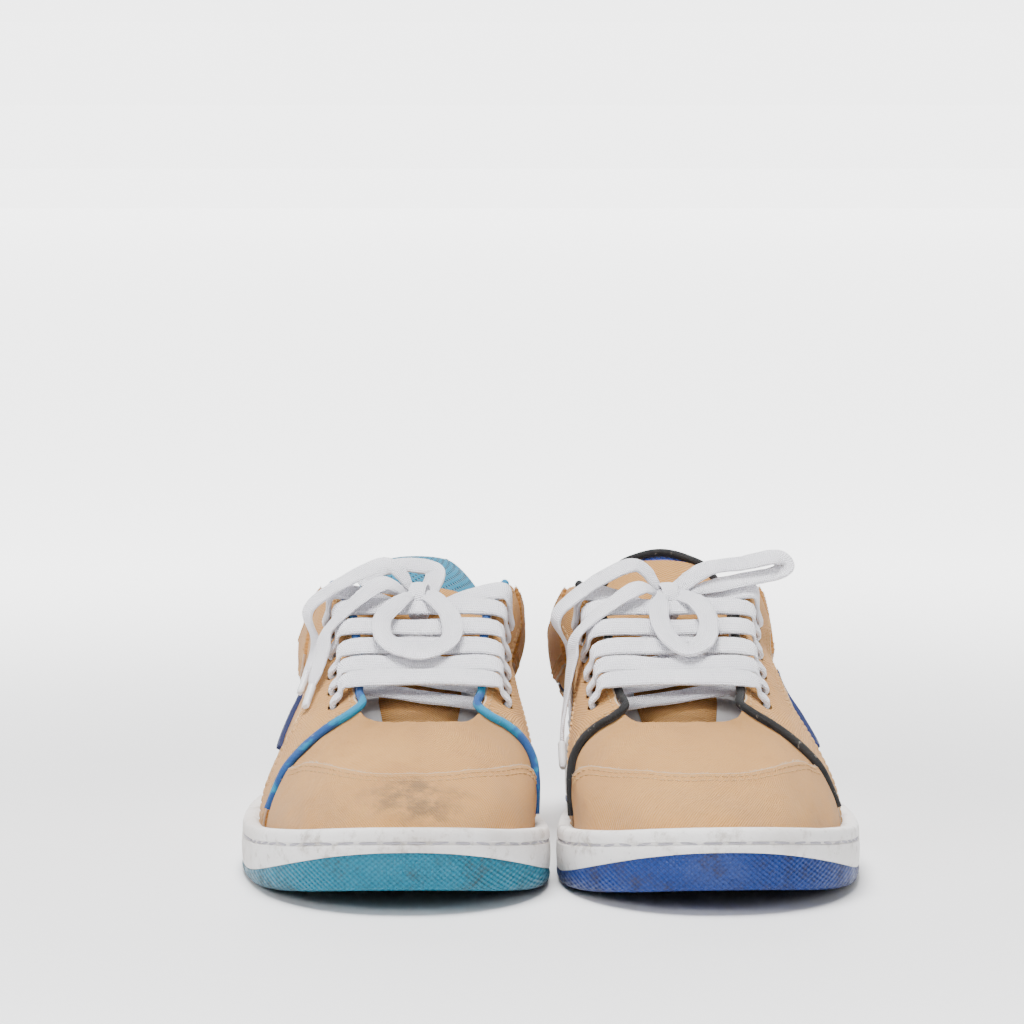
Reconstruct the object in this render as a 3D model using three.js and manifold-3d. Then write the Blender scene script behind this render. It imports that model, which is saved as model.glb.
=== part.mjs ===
// A pair of low canvas lace-up shoes, in millimetres, +Z up, toes towards -Y.
// One shoe is designed as a right shoe, with +X on its inner side, and the left shoe is its mirror image.
// Inside the sole and the upper every place is given by two numbers. "u" runs round the shoe, from 0 at the
// toe to 1 at the heel on the inner side and to -1 on the outer side. "h" climbs the upper, from 0 at the
// sole to 1 at the edge of the throat and collar. "depth" is the distance outside the foot form.

import * as THREE from 'three';
import { LoftGeometry } from 'three/addons/geometries/LoftGeometry.js';
import { mergeGeometries, mergeVertices } from 'three/addons/utils/BufferGeometryUtils.js';
import Module from 'manifold-3d';

const wasm = await Module();
wasm.setup();

// ---------------------------------------------------------------- driving dimensions

const GAP = 0.3; // between two pieces that touch
const CURVED_GAP = 0.95; // between two curved sheets that touch
const WALL_GAP = 1.4; // between the upper and the sidewall it stands in

const sole = {
  length: 300,
  ballWidth: 112,
  waistWidth: 85,
  heelWidth: 81,
  toeSpring: 9,
  springStart: 92, // from the toe, where the tread leaves the ground
  rubber: 4, // tread thickness
  toeWrap: 13.5, // how high the tread climbs the toe
  wrapStart: 84, // from the toe
  wallToe: 22,
  wallBall: 19.5,
  wallHeel: 29,
  wall: 4.4, // sidewall thickness
  wedgeBall: 4,
  wedgeHeel: 10,
  board: 1.5,
  footbed: 4,
};

const upper = {
  lining: 0.8,
  stiffener: 0.9,
  canvas: 1,
  throatHeight: 53.5, // at the front end of the throat
  tipHeight: 96, // at the top eyelets
  ankleHeight: 69,
  heelHeight: 81,
  throatWidth: 43,
  throatShift: 9, // towards the inner side of the foot
  collarWidth: 75,
  pad: 6, // collar foam
  padRise: 2.5, // collar foam above the canvas edge
  bandWidth: 15,
};

const lacing = {
  eyelets: 6,
  firstEyelet: 0.318,
  lastEyelet: 0.535,
  inset: 9.5, // eyelet centre to throat edge
  hole: 5,
  width: 7.5,
  thickness: 1.6,
  bunchedWidth: 3.2, // where the lace goes through an eyelet
  bunchedThickness: 2.2,
};

const tongue = {
  frontEdge: 78, // from the toe
  topEdge: 197,
  width: 54,
  foam: 4.5,
  canvas: 1,
  drop: 5.6, // below the throat edges
  arch: 0.0095,
  topHeight: 109,
};

const pair = {
  gap: 2.2, // between the two soles
  rightTurn: 1,
  leftTurn: 4,
};

// Layers of the upper, from the foot outwards.
const layer = {};
layer.lining = [0, upper.lining];
layer.stiffener = outside(layer.lining, upper.stiffener);
layer.canvas = outside(layer.stiffener, upper.canvas);
layer.overlay = outside(layer.canvas, upper.canvas);

function outside(below, thickness) {
  const start = below[1] + CURVED_GAP;
  return [start, start + thickness];
}

// ---------------------------------------------------------------- curves

const mix = (a, b, t) => a + (b - a) * t;
const clamp = (t) => Math.min(1, Math.max(0, t));

// A smooth curve through [place, value] knots, with the slopes of a Catmull-Rom curve.
function curve(...knots) {
  const slopes = knots.map((knot, i) => {
    const before = knots[Math.max(0, i - 1)];
    const after = knots[Math.min(knots.length - 1, i + 1)];
    return (after[1] - before[1]) / (after[0] - before[0]);
  });
  return (place) => {
    const last = knots.length - 1;
    const x = Math.min(knots[last][0], Math.max(knots[0][0], place));
    let i = 0;
    while (i < last - 1 && x > knots[i + 1][0]) i += 1;
    const span = knots[i + 1][0] - knots[i][0];
    const t = (x - knots[i][0]) / span;
    const s = 1 - t;
    return (
      knots[i][1] * s * s * (1 + 2 * t) +
      knots[i + 1][1] * t * t * (3 - 2 * t) +
      slopes[i] * span * t * s * s -
      slopes[i + 1] * span * t * t * s
    );
  };
}

// A smooth function of u through values at equal steps from toe to heel, the same on both sides.
// It crosses the ends level, or turned over if "mirror" is -1.
function around(values, mirror = 1) {
  const steps = values.length - 1;
  const value = (i) => {
    if (i < 0) return mirror * values[-i];
    return i > steps ? mirror * values[2 * steps - i] : values[i];
  };
  return (u) => {
    const x = Math.min(Math.abs(u), 2 - Math.abs(u)) * steps;
    const i = Math.min(steps - 1, Math.floor(x));
    const t = x - i;
    const [a, b, c, d] = [value(i - 1), value(i), value(i + 1), value(i + 2)];
    return b + 0.5 * t * (c - a + t * (2 * a - 5 * b + 4 * c - d + t * (3 * (b - c) + d - a)));
  };
}

// The side of a place: 1 on the inner side, -1 on the outer side.
const side = (u) => (Math.abs(u) > 1 ? -Math.sign(u) : Math.sign(u));

// ---------------------------------------------------------------- outline and heights of the sole

const at = (share) => share * sole.length;

const axis = curve([0, 5], [at(0.2), 3], [at(0.37), -1], [at(0.57), -4], [at(0.8), -1], [sole.length, 0]);
const halfWidth = curve(
  [0, 0.44 * sole.ballWidth],
  [at(0.17), 0.475 * sole.ballWidth],
  [at(0.31), sole.ballWidth / 2],
  [at(0.43), 0.47 * sole.ballWidth],
  [at(0.57), sole.waistWidth / 2],
  [at(0.7), mix(sole.waistWidth, sole.heelWidth, 0.6) / 2],
  [at(0.84), sole.heelWidth / 2],
  [sole.length, 0.49 * sole.heelWidth],
);

// How the outline closes at its two ends, as a superellipse.
function endRounding(s) {
  const toe = clamp(1 - s / at(0.24));
  const heel = clamp(1 - (sole.length - s) / at(0.14));
  return (1 - toe ** 2.25) ** (1 / 2.25) * (1 - heel ** 2.1) ** (1 / 2.1);
}

const station = (u) => (sole.length / 2) * (1 - Math.cos(Math.PI * u));

function outlinePoint(u) {
  const s = station(u);
  return new THREE.Vector2(axis(s) + side(u) * halfWidth(s) * endRounding(s), s);
}

const STEP = 0.004;

// Unit vector out of the outline, in plan.
function outwards(u) {
  const along = outlinePoint(u + STEP).sub(outlinePoint(u - STEP));
  return new THREE.Vector2(along.y, -along.x).normalize();
}

// Where the outline is, moved inwards, with a height. Y is 0 halfway along the sole.
function outline(u, inset, z) {
  const p = outlinePoint(u).addScaledVector(outwards(u), -inset);
  return new THREE.Vector3(p.x, p.y - sole.length / 2, z);
}

const ground = (s) => sole.toeSpring * clamp(1 - s / sole.springStart) ** 2;
const rubberTop = (s) => ground(s) + sole.rubber;
const wrapTop = (s) => rubberTop(s) + (sole.toeWrap - sole.rubber) * clamp(1 - s / sole.wrapStart) ** 1.3;
const wallTop = curve(
  [0, sole.toeSpring + sole.wallToe],
  [at(0.1), 0.45 * sole.toeSpring + sole.wallToe],
  [at(0.28), 0.7 + sole.wallBall],
  [at(0.45), mix(sole.wallBall, sole.wallHeel, 0.15)],
  [at(0.7), mix(sole.wallBall, sole.wallHeel, 0.65)],
  [sole.length, sole.wallHeel],
);
const wedge = curve([0, sole.wedgeBall], [at(0.35), sole.wedgeBall], [at(0.75), sole.wedgeHeel], [sole.length, sole.wedgeHeel]);
const wedgeTop = (s) => rubberTop(s) + GAP + wedge(s);

// ---------------------------------------------------------------- the foot form

const featherInset = sole.wall + WALL_GAP + layer.overlay[1];
const throatHalf = upper.throatWidth / 2;
const collarHalf = upper.collarWidth / 2;
const slope = (share) => mix(upper.throatHeight, upper.tipHeight, share);

// Edge of the throat and collar: distance from the throat's middle line, from the toe, and height.
const edgeX = around(
  [
    0,
    0.47 * throatHalf,
    0.86 * throatHalf,
    throatHalf,
    throatHalf,
    1.05 * throatHalf,
    1.45 * throatHalf,
    0.98 * collarHalf,
    0.95 * collarHalf,
    0.56 * collarHalf,
    0,
  ],
  -1,
);
const edgeS = around(
  [
    at(0.287),
    at(0.289),
    at(0.303),
    at(0.347),
    at(0.413),
    at(0.5),
    at(0.577),
    at(0.683),
    at(0.8),
    at(0.92),
    at(0.965),
  ],
);
const edgeZ = around(
  [
    slope(0),
    slope(0),
    slope(0.02),
    slope(0.17),
    slope(0.44),
    slope(0.79),
    slope(1),
    mix(upper.ankleHeight, upper.tipHeight, 0.4),
    upper.ankleHeight,
    mix(upper.ankleHeight, upper.heelHeight, 0.45),
    upper.heelHeight,
  ],
);
const middle = curve([0, upper.throatShift], [at(0.6), upper.throatShift], [at(0.95), 0], [sole.length, 0]);

// Handles of the curve from the sole to the edge: how far it starts upwards and leans out, and how far
// and how steeply it arrives at the edge.
const lowHandle = around([15, 15, 18, 25, 31, 33, 33, 30, 28, 27, 27]);
const lean = around([0, 0, 0.3, 1, 1.3, 1, 0, 0, 1, 1.5, 1.5]);
const highHandle = around([50, 46, 36, 26, 23, 22, 24, 20, 16, 15, 16]);
const edgeAngle = around([22, 23, 27, 34, 43, 52, 66, 78, 82, 80, 78]);

function edge(u) {
  const s = edgeS(u);
  return new THREE.Vector3(middle(s) + side(u) * edgeX(u), s - sole.length / 2, edgeZ(u));
}

function formPoint(u, h) {
  const out = new THREE.Vector3(outwards(u).x, outwards(u).y, 0);
  const up = new THREE.Vector3(0, 0, 1);
  const angle = THREE.MathUtils.degToRad(edgeAngle(u));
  const foot = outline(u, featherInset, wedgeTop(station(u)) + 2 * GAP);
  const top = edge(u);
  const low = foot.clone().addScaledVector(up, lowHandle(u)).addScaledVector(out, lean(u));
  const high = top
    .clone()
    .addScaledVector(out, highHandle(u) * Math.cos(angle))
    .addScaledVector(up, -highHandle(u) * Math.sin(angle));
  return new THREE.CubicBezierCurve3(foot, low, high, top).getPoint(h);
}

// A point of the upper, "depth" outside the foot form along its normal.
function onForm(u, h, depth) {
  const along = formPoint(u + STEP, h).sub(formPoint(u - STEP, h));
  const low = Math.max(0, h - STEP);
  const high = Math.min(1, h + STEP);
  const across = formPoint(u, high).sub(formPoint(u, low));
  const normal = along.cross(across).normalize();
  return formPoint(u, h).addScaledVector(normal, depth);
}

// The h that lies a given distance below the edge, or above the sole, along the upper.
function climb(u, distance, fromTop) {
  const count = 40;
  const place = (i) => (fromTop ? 1 - i / count : i / count);
  let travelled = 0;
  let last = formPoint(u, place(0));
  for (let i = 1; i <= count; i += 1) {
    const next = formPoint(u, place(i));
    const piece = next.distanceTo(last);
    if (travelled + piece >= distance) return mix(place(i - 1), place(i), (distance - travelled) / piece);
    travelled += piece;
    last = next;
  }
  return place(count);
}
const below = (u, distance) => climb(u, distance, true);
const above = (u, distance) => climb(u, distance, false);

// ---------------------------------------------------------------- solids

// Makes one closed solid of surfaces that meet, with its shared corners merged and its faces outwards.
function solid(...surfaces) {
  const plain = surfaces.map((surface) =>
    new THREE.BufferGeometry().setAttribute('position', surface.attributes.position).setIndex(surface.index),
  );
  const merged = mergeVertices(mergeGeometries(plain), 1e-3);
  const index = merged.index.array;
  const kept = [];
  for (let i = 0; i < index.length; i += 3) {
    const [a, b, c] = [index[i], index[i + 1], index[i + 2]];
    if (a !== b && b !== c && c !== a) kept.push(a, b, c);
  }
  if (volume(merged.attributes.position, kept) < 0) kept.reverse();
  merged.setIndex(kept);
  return merged;
}

function volume(position, index) {
  const [a, b, c] = [new THREE.Vector3(), new THREE.Vector3(), new THREE.Vector3()];
  let sum = 0;
  for (let i = 0; i < index.length; i += 3) {
    a.fromBufferAttribute(position, index[i]);
    b.fromBufferAttribute(position, index[i + 1]);
    c.fromBufferAttribute(position, index[i + 2]);
    sum += a.dot(b.cross(c)) / 6;
  }
  return sum;
}

function toManifold(geometry) {
  return new wasm.Manifold(
    new wasm.Mesh({
      numProp: 3,
      vertProperties: new Float32Array(geometry.attributes.position.array),
      triVerts: new Uint32Array(geometry.index.array),
    }),
  );
}

function fromManifold(made) {
  const mesh = made.getMesh();
  const geometry = new THREE.BufferGeometry();
  geometry.setAttribute('position', new THREE.BufferAttribute(mesh.vertProperties, 3));
  geometry.setIndex(new THREE.BufferAttribute(mesh.triVerts, 1));
  return geometry;
}

const range = (count) => Array.from({ length: count + 1 }, (_, i) => i / count);

// A ring round the whole shoe: "profile(u)" gives the corners of its section.
function ring(profile, steps) {
  const sections = range(steps).map((t) => profile(mix(-1, 1, t)));
  return solid(new LoftGeometry(sections));
}

// A plate that fills the outline: "rim(u)" gives the corners of its edge, from the bottom up, and
// "bottom(s)" and "top(s)" its heights along the middle.
function plate(rim, bottom, top, steps) {
  const profile = (u) => {
    const s = mix(at(0.1), at(0.92), (1 - Math.cos(Math.PI * u)) / 2);
    const spine = (z) => new THREE.Vector3(axis(s), s - sole.length / 2, z);
    return [spine(bottom(s)), ...rim(u), spine(top(s))];
  };
  const sections = range(steps).map((t) => profile(mix(-1, 1, t)));
  return solid(new LoftGeometry(sections, { closed: false }));
}

// A thick sheet between an outer and an inner surface, each given as rows of points.
function slab(outer, inner) {
  const last = outer.length - 1;
  const body = new LoftGeometry(outer.map((row, i) => [...row, ...inner[i].toReversed()]));
  const start = new LoftGeometry([inner[0], outer[0]], { closed: false });
  const end = new LoftGeometry([outer[last], inner[last]], { closed: false });
  return solid(body, start, end);
}

// A sheet of the upper between two lines of the form. "first(a)" and "second(a)" give [u, h] for a from
// 0 to 1, and the sheet fills the layer between them.
function sheet(first, second, [inner, outer], along, across) {
  const rows = (depth) =>
    range(along).map((a) => {
      const [u0, h0] = first(a);
      const [u1, h1] = second(a);
      return range(across).map((b) => onForm(mix(u0, u1, b), mix(h0, h1, b), depth));
    });
  return slab(rows(outer), rows(inner));
}

// A line of the form through [u, h] points, for a from 0 to 1.
function seam(...points) {
  const path = new THREE.SplineCurve(points.map(([u, h]) => new THREE.Vector2(u, h)));
  return (a) => path.getPoint(a).toArray();
}

// The same line on the inner side, for a sign of 1, or on the outer side, for -1.
const onSide = (sign, line) => (a) => {
  const [u, h] = line(a);
  return [sign * u, h];
};

// A flat band along a path. Each point has its place, the direction of the band's width, and its size.
function strap(points) {
  const sections = points.map((point, i) => {
    const before = points[Math.max(0, i - 1)].place;
    const after = points[Math.min(points.length - 1, i + 1)].place;
    const forward = after.clone().sub(before).normalize();
    const wide = point.wide.clone().addScaledVector(forward, -point.wide.dot(forward)).normalize();
    const thick = forward.clone().cross(wide);
    const [w, t] = [point.width / 2, point.thickness / 2];
    const shoulder = w - 0.6 * t;
    return [
      [w, 0],
      [shoulder, t],
      [-shoulder, t],
      [-w, 0],
      [-shoulder, -t],
      [shoulder, -t],
    ].map(([x, y]) => point.place.clone().addScaledVector(wide, x).addScaledVector(thick, y));
  });
  return solid(new LoftGeometry(sections, { capStart: true, capEnd: true }));
}

// ---------------------------------------------------------------- sole unit

const SOLE_STEPS = 44;

function outsole() {
  const rim = (u) => {
    const s = station(u);
    const lip = wrapTop(s);
    return [
      outline(u, 2.5, ground(s)),
      outline(u, 0.6, ground(s) + 1.2),
      outline(u, 0, mix(ground(s) + 1.2, lip, 0.6)),
      outline(u, 0.4, lip),
      outline(u, sole.wall - 1, lip),
      outline(u, sole.wall, rubberTop(s)),
    ];
  };
  return plate(rim, ground, rubberTop, SOLE_STEPS);
}

function sidewall() {
  const grooveBelowTop = 5;
  return ring((u) => {
    const s = station(u);
    const low = wrapTop(s) + GAP;
    const top = wallTop(s);
    const groove = top - grooveBelowTop;
    return [
      outline(u, 0.4, low),
      outline(u, -0.2, mix(low, groove, 0.6)),
      outline(u, 0, groove - 0.9),
      outline(u, 0.9, groove - 0.4),
      outline(u, 0.9, groove + 0.4),
      outline(u, 0.1, groove + 0.9),
      outline(u, 0.5, top - 1),
      outline(u, 1.5, top),
      outline(u, sole.wall, top),
      outline(u, sole.wall, low),
    ];
  }, SOLE_STEPS);
}

function midsoleWedge() {
  const inset = sole.wall + 2.2;
  const rim = (u) => {
    const s = station(u);
    return [outline(u, inset, rubberTop(s) + 2 * GAP), outline(u, inset, wedgeTop(s))];
  };
  return plate(rim, (s) => rubberTop(s) + 2 * GAP, wedgeTop, 28);
}

const boardTop = (s) => wedgeTop(s) + GAP + sole.board;

function insoleBoard() {
  const inset = featherInset + 2;
  const rim = (u) => {
    const s = station(u);
    return [outline(u, inset, wedgeTop(s) + CURVED_GAP), outline(u, inset, boardTop(s))];
  };
  return plate(rim, (s) => wedgeTop(s) + CURVED_GAP, boardTop, 28);
}

function footbed() {
  const inset = featherInset + 4.5;
  const rim = (u) => {
    const s = station(u);
    return [
      outline(u, inset, boardTop(s) + CURVED_GAP),
      outline(u, inset, boardTop(s) + sole.footbed),
      outline(u, inset + 6, boardTop(s) + sole.footbed - 0.8),
    ];
  };
  const top = (s) => boardTop(s) + sole.footbed - 0.8;
  return plate(rim, (s) => boardTop(s) + CURVED_GAP, top, 28);
}

// ---------------------------------------------------------------- upper

const throatCorner = 0.247; // u where the eyestay turns from the throat to its front edge
const throatEnd = 0.585; // u at the upper end of the eyestay
const laceStrip = 16; // bare strip under the eyestay, for the laces

// Front edge of the eyestay, from the throat's corner down to the sole.
const eyestayFront = seam([throatCorner, 1], [0.275, 0.78], [0.318, 0.45], [0.365, 0]);
const vampSide = seam([0.268, 1], [0.293, 0.78], [0.338, 0.45], [0.39, 0]);
const quarterFront = (a) => {
  const [u, h] = vampSide(a);
  return [u + 0.004, h];
};

function vamp() {
  return sheet(onSide(-1, vampSide), vampSide, layer.canvas, 6, 18);
}

// The seam that crosses the toe, and the side end of the toe cap just in front of the piping.
const capSeam = around([0.66, 0.665, 0.66, 0.47, 0.3, 0, 0, 0, 0, 0, 0]);
const capSide = [0.341, 0.291];

function toeCap() {
  const low = (a) => [mix(-capSide[0], capSide[0], a), 0];
  const high = (a) => {
    const u = mix(-capSide[1], capSide[1], a);
    return [u, capSeam(u)];
  };
  return sheet(low, high, layer.overlay, 18, 4);
}

function toePuff() {
  const low = (a) => [mix(-0.26, 0.26, a), 0.04];
  const high = (a) => [mix(-0.22, 0.22, a), 0.52];
  return sheet(low, high, layer.stiffener, 12, 4);
}

function heelCounter() {
  const low = (a) => [mix(0.76, 1.24, a), 0.04];
  const high = (a) => {
    const u = mix(0.79, 1.21, a);
    return [u, below(u, 38)];
  };
  return sheet(low, high, layer.stiffener, 16, 2);
}

function quarter(sign) {
  const rearEnd = 0.9955;
  const rear = (a) => [rearEnd, quarterFront(a)[1]];
  return sheet(onSide(sign, quarterFront), onSide(sign, rear), layer.canvas, 6, 17);
}

// Inner edge of the eyestay: down the throat, round its corner and down the front.
function eyestayInner(a) {
  const turn = 0.55;
  return a < turn ? [mix(throatEnd, throatCorner, a / turn), 1] : eyestayFront((a - turn) / (1 - turn));
}

// Outer edge of the eyestay: beside the eyelets, then down to the sole.
const eyestayOuter = seam(
  [0.6, below(0.6, 16)],
  [0.53, below(0.53, 21)],
  [0.44, below(0.44, 24)],
  [0.41, below(0.41, 34)],
  [0.425, 0.3],
  [0.44, 0],
);

function eyestay(sign) {
  return sheet(onSide(sign, eyestayInner), onSide(sign, eyestayOuter), layer.overlay, 16, 4);
}

function heelOverlay() {
  const low = (a) => [mix(0.8, 1.2, a), 0];
  const high = (a) => {
    const u = mix(0.84, 1.16, a);
    return [u, below(u, 31)];
  };
  return sheet(low, high, layer.overlay, 16, 2);
}

// The overlay that runs round the collar, from one top eyelet behind the heel to the other.
function collarOverlay() {
  const front = 0.615;
  const drop = (u) => mix(28, 20, clamp((Math.min(u, 2 - u) - front) / 0.12));
  const high = (a) => [mix(front, 2 - front, a), 1];
  const low = (a) => {
    const u = mix(front, 2 - front, a);
    return [u, below(u, drop(u))];
  };
  return sheet(low, high, layer.overlay, 28, 2);
}

// A straight slanted band on the quarter, between the eyestay and the heel.
function sideBand(sign) {
  const line = (offset) => (a) => {
    const u = mix(0.47, 0.74, a);
    return [u + 0.03 * offset, above(u, mix(21, 34, a) + upper.bandWidth * offset)];
  };
  return sheet(onSide(sign, line(0)), onSide(sign, line(1)), layer.overlay, 10, 2);
}

function lining() {
  const rows = 3;
  const top = (u) => {
    const v = Math.min(Math.abs(u), 2 - Math.abs(u));
    const strip = laceStrip * clamp((v - 0.2) / 0.06);
    const pad = 32 * clamp((v - 0.56) / 0.08);
    return below(u, 1 + Math.max(strip, pad));
  };
  return ring((u) => {
    const high = top(u);
    const row = (depth) => range(rows).map((b) => onForm(u, high * b, depth));
    return [...row(layer.lining[1]), ...row(layer.lining[0]).reverse()];
  }, 34);
}

function collarPad() {
  const front = 0.625;
  const outerDepth = layer.stiffener[1];
  const rows = (profile) =>
    range(26).map((a) => {
      const u = mix(front, 2 - front, a);
      const full = Math.sin(Math.PI * mix(0.06, 0.94, a)) ** 0.3;
      return profile.map(([distance, depth, rise]) => {
        const place = onForm(u, below(u, distance), depth < outerDepth ? depth * full : depth);
        place.z += rise * full;
        return place;
      });
    });
  const outer = [[28, outerDepth, 0], [14, outerDepth, 0], [0, outerDepth, 0], [0, 0.2, upper.padRise]];
  const inner = [
    [24, -0.4 * upper.pad, 0],
    [15, -upper.pad, 0],
    [5, -upper.pad, 0],
    [0, -0.6 * upper.pad, upper.padRise],
  ];
  return slab(rows(outer), rows(inner));
}

// A round cord of the given radius along a line of points.
function cordAlong(places, radius, steps, sides = 6) {
  const circle = new THREE.Shape().absarc(0, 0, radius, 0, 2 * Math.PI);
  const extrudePath = new THREE.CatmullRomCurve3(places);
  const options = { steps, curveSegments: sides / 2, bevelEnabled: false, extrudePath };
  return solid(new THREE.ExtrudeGeometry(circle, options));
}

// Piping along the inner and front edges of the eyestay.
function piping(sign) {
  const radius = 1.15;
  const clear = radius + GAP + 0.2;
  const turn = 0.55;
  const centre = (a) => {
    if (a < turn) {
      const u = sign * mix(throatEnd, throatCorner, a / turn);
      const rim = onForm(u, 1, layer.overlay[0]);
      const into = rim.clone().sub(onForm(u, 0.96, layer.overlay[0])).normalize();
      return rim.addScaledVector(into, clear);
    }
    const [u, h] = eyestayFront((a - turn) / (1 - turn));
    return onForm(sign * (u - 0.0145), Math.min(1, h), layer.canvas[1] + clear + 0.1);
  };
  return cordAlong(range(24).map((a) => centre(mix(0.01, 0.93, a))), radius, 28);
}

// ---------------------------------------------------------------- tongue

const tongueMiddle = curve(
  [tongue.frontEdge, slope(0) - 8.5],
  [at(0.303), slope(0) - tongue.drop + 0.5],
  [at(0.413), slope(0.44) - tongue.drop],
  [at(0.5), slope(0.79) - tongue.drop],
  [at(0.57), slope(1) - tongue.drop + 0.5],
  [tongue.topEdge, tongue.topHeight],
);

const tongueHalf = (t) => (tongue.width / 2) * mix(0.8, 1, clamp(t * 3)) * (1 - clamp((t - 0.8) / 0.2) ** 2.4 * 0.55);

// A place on the tongue: t from its front edge to its top, across from -1 to 1, depth above its foam.
function onTongue(t, across, depth, half = tongueHalf(t)) {
  const s = mix(tongue.frontEdge, tongue.topEdge, t);
  const x = across * half;
  const rise = (tongueMiddle(s + 1) - tongueMiddle(s - 1)) / 2;
  const normal = new THREE.Vector3(0, -rise, 1).normalize();
  const z = tongueMiddle(s) - tongue.arch * x * x;
  return new THREE.Vector3(middle(s) + x, s - sole.length / 2, z).addScaledVector(normal, depth);
}

function tongueSheet(to, bottom, top, inset = 0) {
  const rows = (depth) =>
    range(9).map((a) => {
      const t = to * a;
      const half = tongueHalf(t) - inset;
      return range(6).map((b) => onTongue(t, mix(-1, 1, b), depth(t, mix(-1, 1, b)), half));
    });
  return slab(rows(top), rows(bottom));
}

function tonguePad() {
  const thickness = (t, b) => tongue.foam * mix(0.35, 1, clamp(t * 2)) * (1 - 0.6 * Math.abs(b) ** 3);
  const top = -tongue.canvas - 2 * GAP;
  return tongueSheet(1, (t, b) => top - thickness(t, b), () => top);
}

function tongueFace(to) {
  return tongueSheet(to, () => -tongue.canvas, () => 0, 2.6);
}

// Binding round the sides and top of the tongue.
function tongueBinding() {
  const radius = 1.15;
  const reach = (t) => tongueHalf(t) - 1;
  const start = 0.55;
  const end = 0.965;
  const place = (t, across) => onTongue(t, across, radius - tongue.canvas - GAP / 2, reach(t));
  const sides = (sign) => range(7).map((a) => place(mix(start, end, a), sign));
  const top = [-0.66, -0.33, 0, 0.33, 0.66].map((x) => place(end + 0.025 * (1 - x * x), x));
  return cordAlong([...sides(-1), ...top, ...sides(1).reverse()], radius, 30);
}

// ---------------------------------------------------------------- eyelets and laces

const eyeletPlaces = Array.from({ length: lacing.eyelets }, (_, i) => {
  const u = mix(lacing.firstEyelet, lacing.lastEyelet, i / (lacing.eyelets - 1));
  return [u, below(u, lacing.inset)];
});

// Cuts the eyelets of one side through a piece of the upper.
function withEyelets(sign, geometry) {
  const up = new THREE.Vector3(0, 1, 0);
  let made = toManifold(geometry);
  for (const [u, h] of eyeletPlaces) {
    const centre = onForm(sign * u, h, layer.canvas[0]);
    const normal = onForm(sign * u, h, layer.canvas[0] + 1).sub(centre);
    const drill = new THREE.CylinderGeometry(lacing.hole / 2, lacing.hole / 2, 12, 6);
    drill.applyQuaternion(new THREE.Quaternion().setFromUnitVectors(up, normal));
    drill.translate(centre.x, centre.y, centre.z);
    made = made.subtract(toManifold(solid(drill)));
  }
  return fromManifold(made);
}

const overDepth = layer.overlay[1] + GAP + lacing.thickness / 2 + 0.4;
const overPiping = 2.2;
const underDepth = -lacing.thickness / 2 - 1;

// Direction along the row of eyelets on one side, from the toe upwards.
function rowDirection(sign, i) {
  const last = lacing.eyelets - 1;
  const [u0, h0] = eyeletPlaces[Math.max(0, i - 1)];
  const [u1, h1] = eyeletPlaces[Math.min(last, i + 1)];
  return onForm(sign * u1, h1, 0).sub(onForm(sign * u0, h0, 0)).normalize();
}

const bunched = { width: lacing.bunchedWidth, thickness: lacing.bunchedThickness };
const flat = { width: lacing.width, thickness: lacing.thickness };

// The lace through eyelet i, from under the upper to above it, with the point where it has flattened.
function throughEyelet(sign, i) {
  const [u, h] = eyeletPlaces[i];
  const wide = rowDirection(sign, i);
  const depths = [underDepth, layer.canvas[0] + 0.5, overDepth - 0.9];
  const inside = mix(h, 1, 0.4);
  return [
    { place: onForm(sign * u, inside, underDepth), wide, ...bunched },
    ...depths.map((depth) => ({ place: onForm(sign * u, h, depth), wide, ...bunched })),
    { place: onForm(sign * u, inside, overDepth + 0.2), wide, width: 6, thickness: lacing.thickness },
  ];
}

// A point of the lace at the throat's edge beside eyelet i.
function atThroat(sign, i, depth) {
  const place = onForm(sign * eyeletPlaces[i][0], 1, depth);
  if (depth > 0) place.z += overPiping;
  return { place, wide: rowDirection(sign, i), ...flat };
}

function halfway(a, b, rise) {
  const place = a.place.clone().lerp(b.place, 0.5);
  place.z += rise;
  return { place, wide: a.wide.clone().add(b.wide).normalize(), ...flat };
}

// The knot's place, above the throat between the top eyelets.
const knotRadius = 5;
const knotShare = 0.517; // u beside the knot
const knotRise = 4.5; // above the throat edges
const knotCentre = new THREE.Vector3(
  middle(edgeS(knotShare)),
  edgeS(knotShare) - sole.length / 2,
  edgeZ(knotShare) + knotRise,
);

// A point that a lace leaves the knot from, in the given direction.
function atKnot(x, y, z) {
  const place = new THREE.Vector3(x, y, z).normalize();
  return place.multiplyScalar(knotRadius + GAP + 0.5).add(knotCentre);
}

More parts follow.
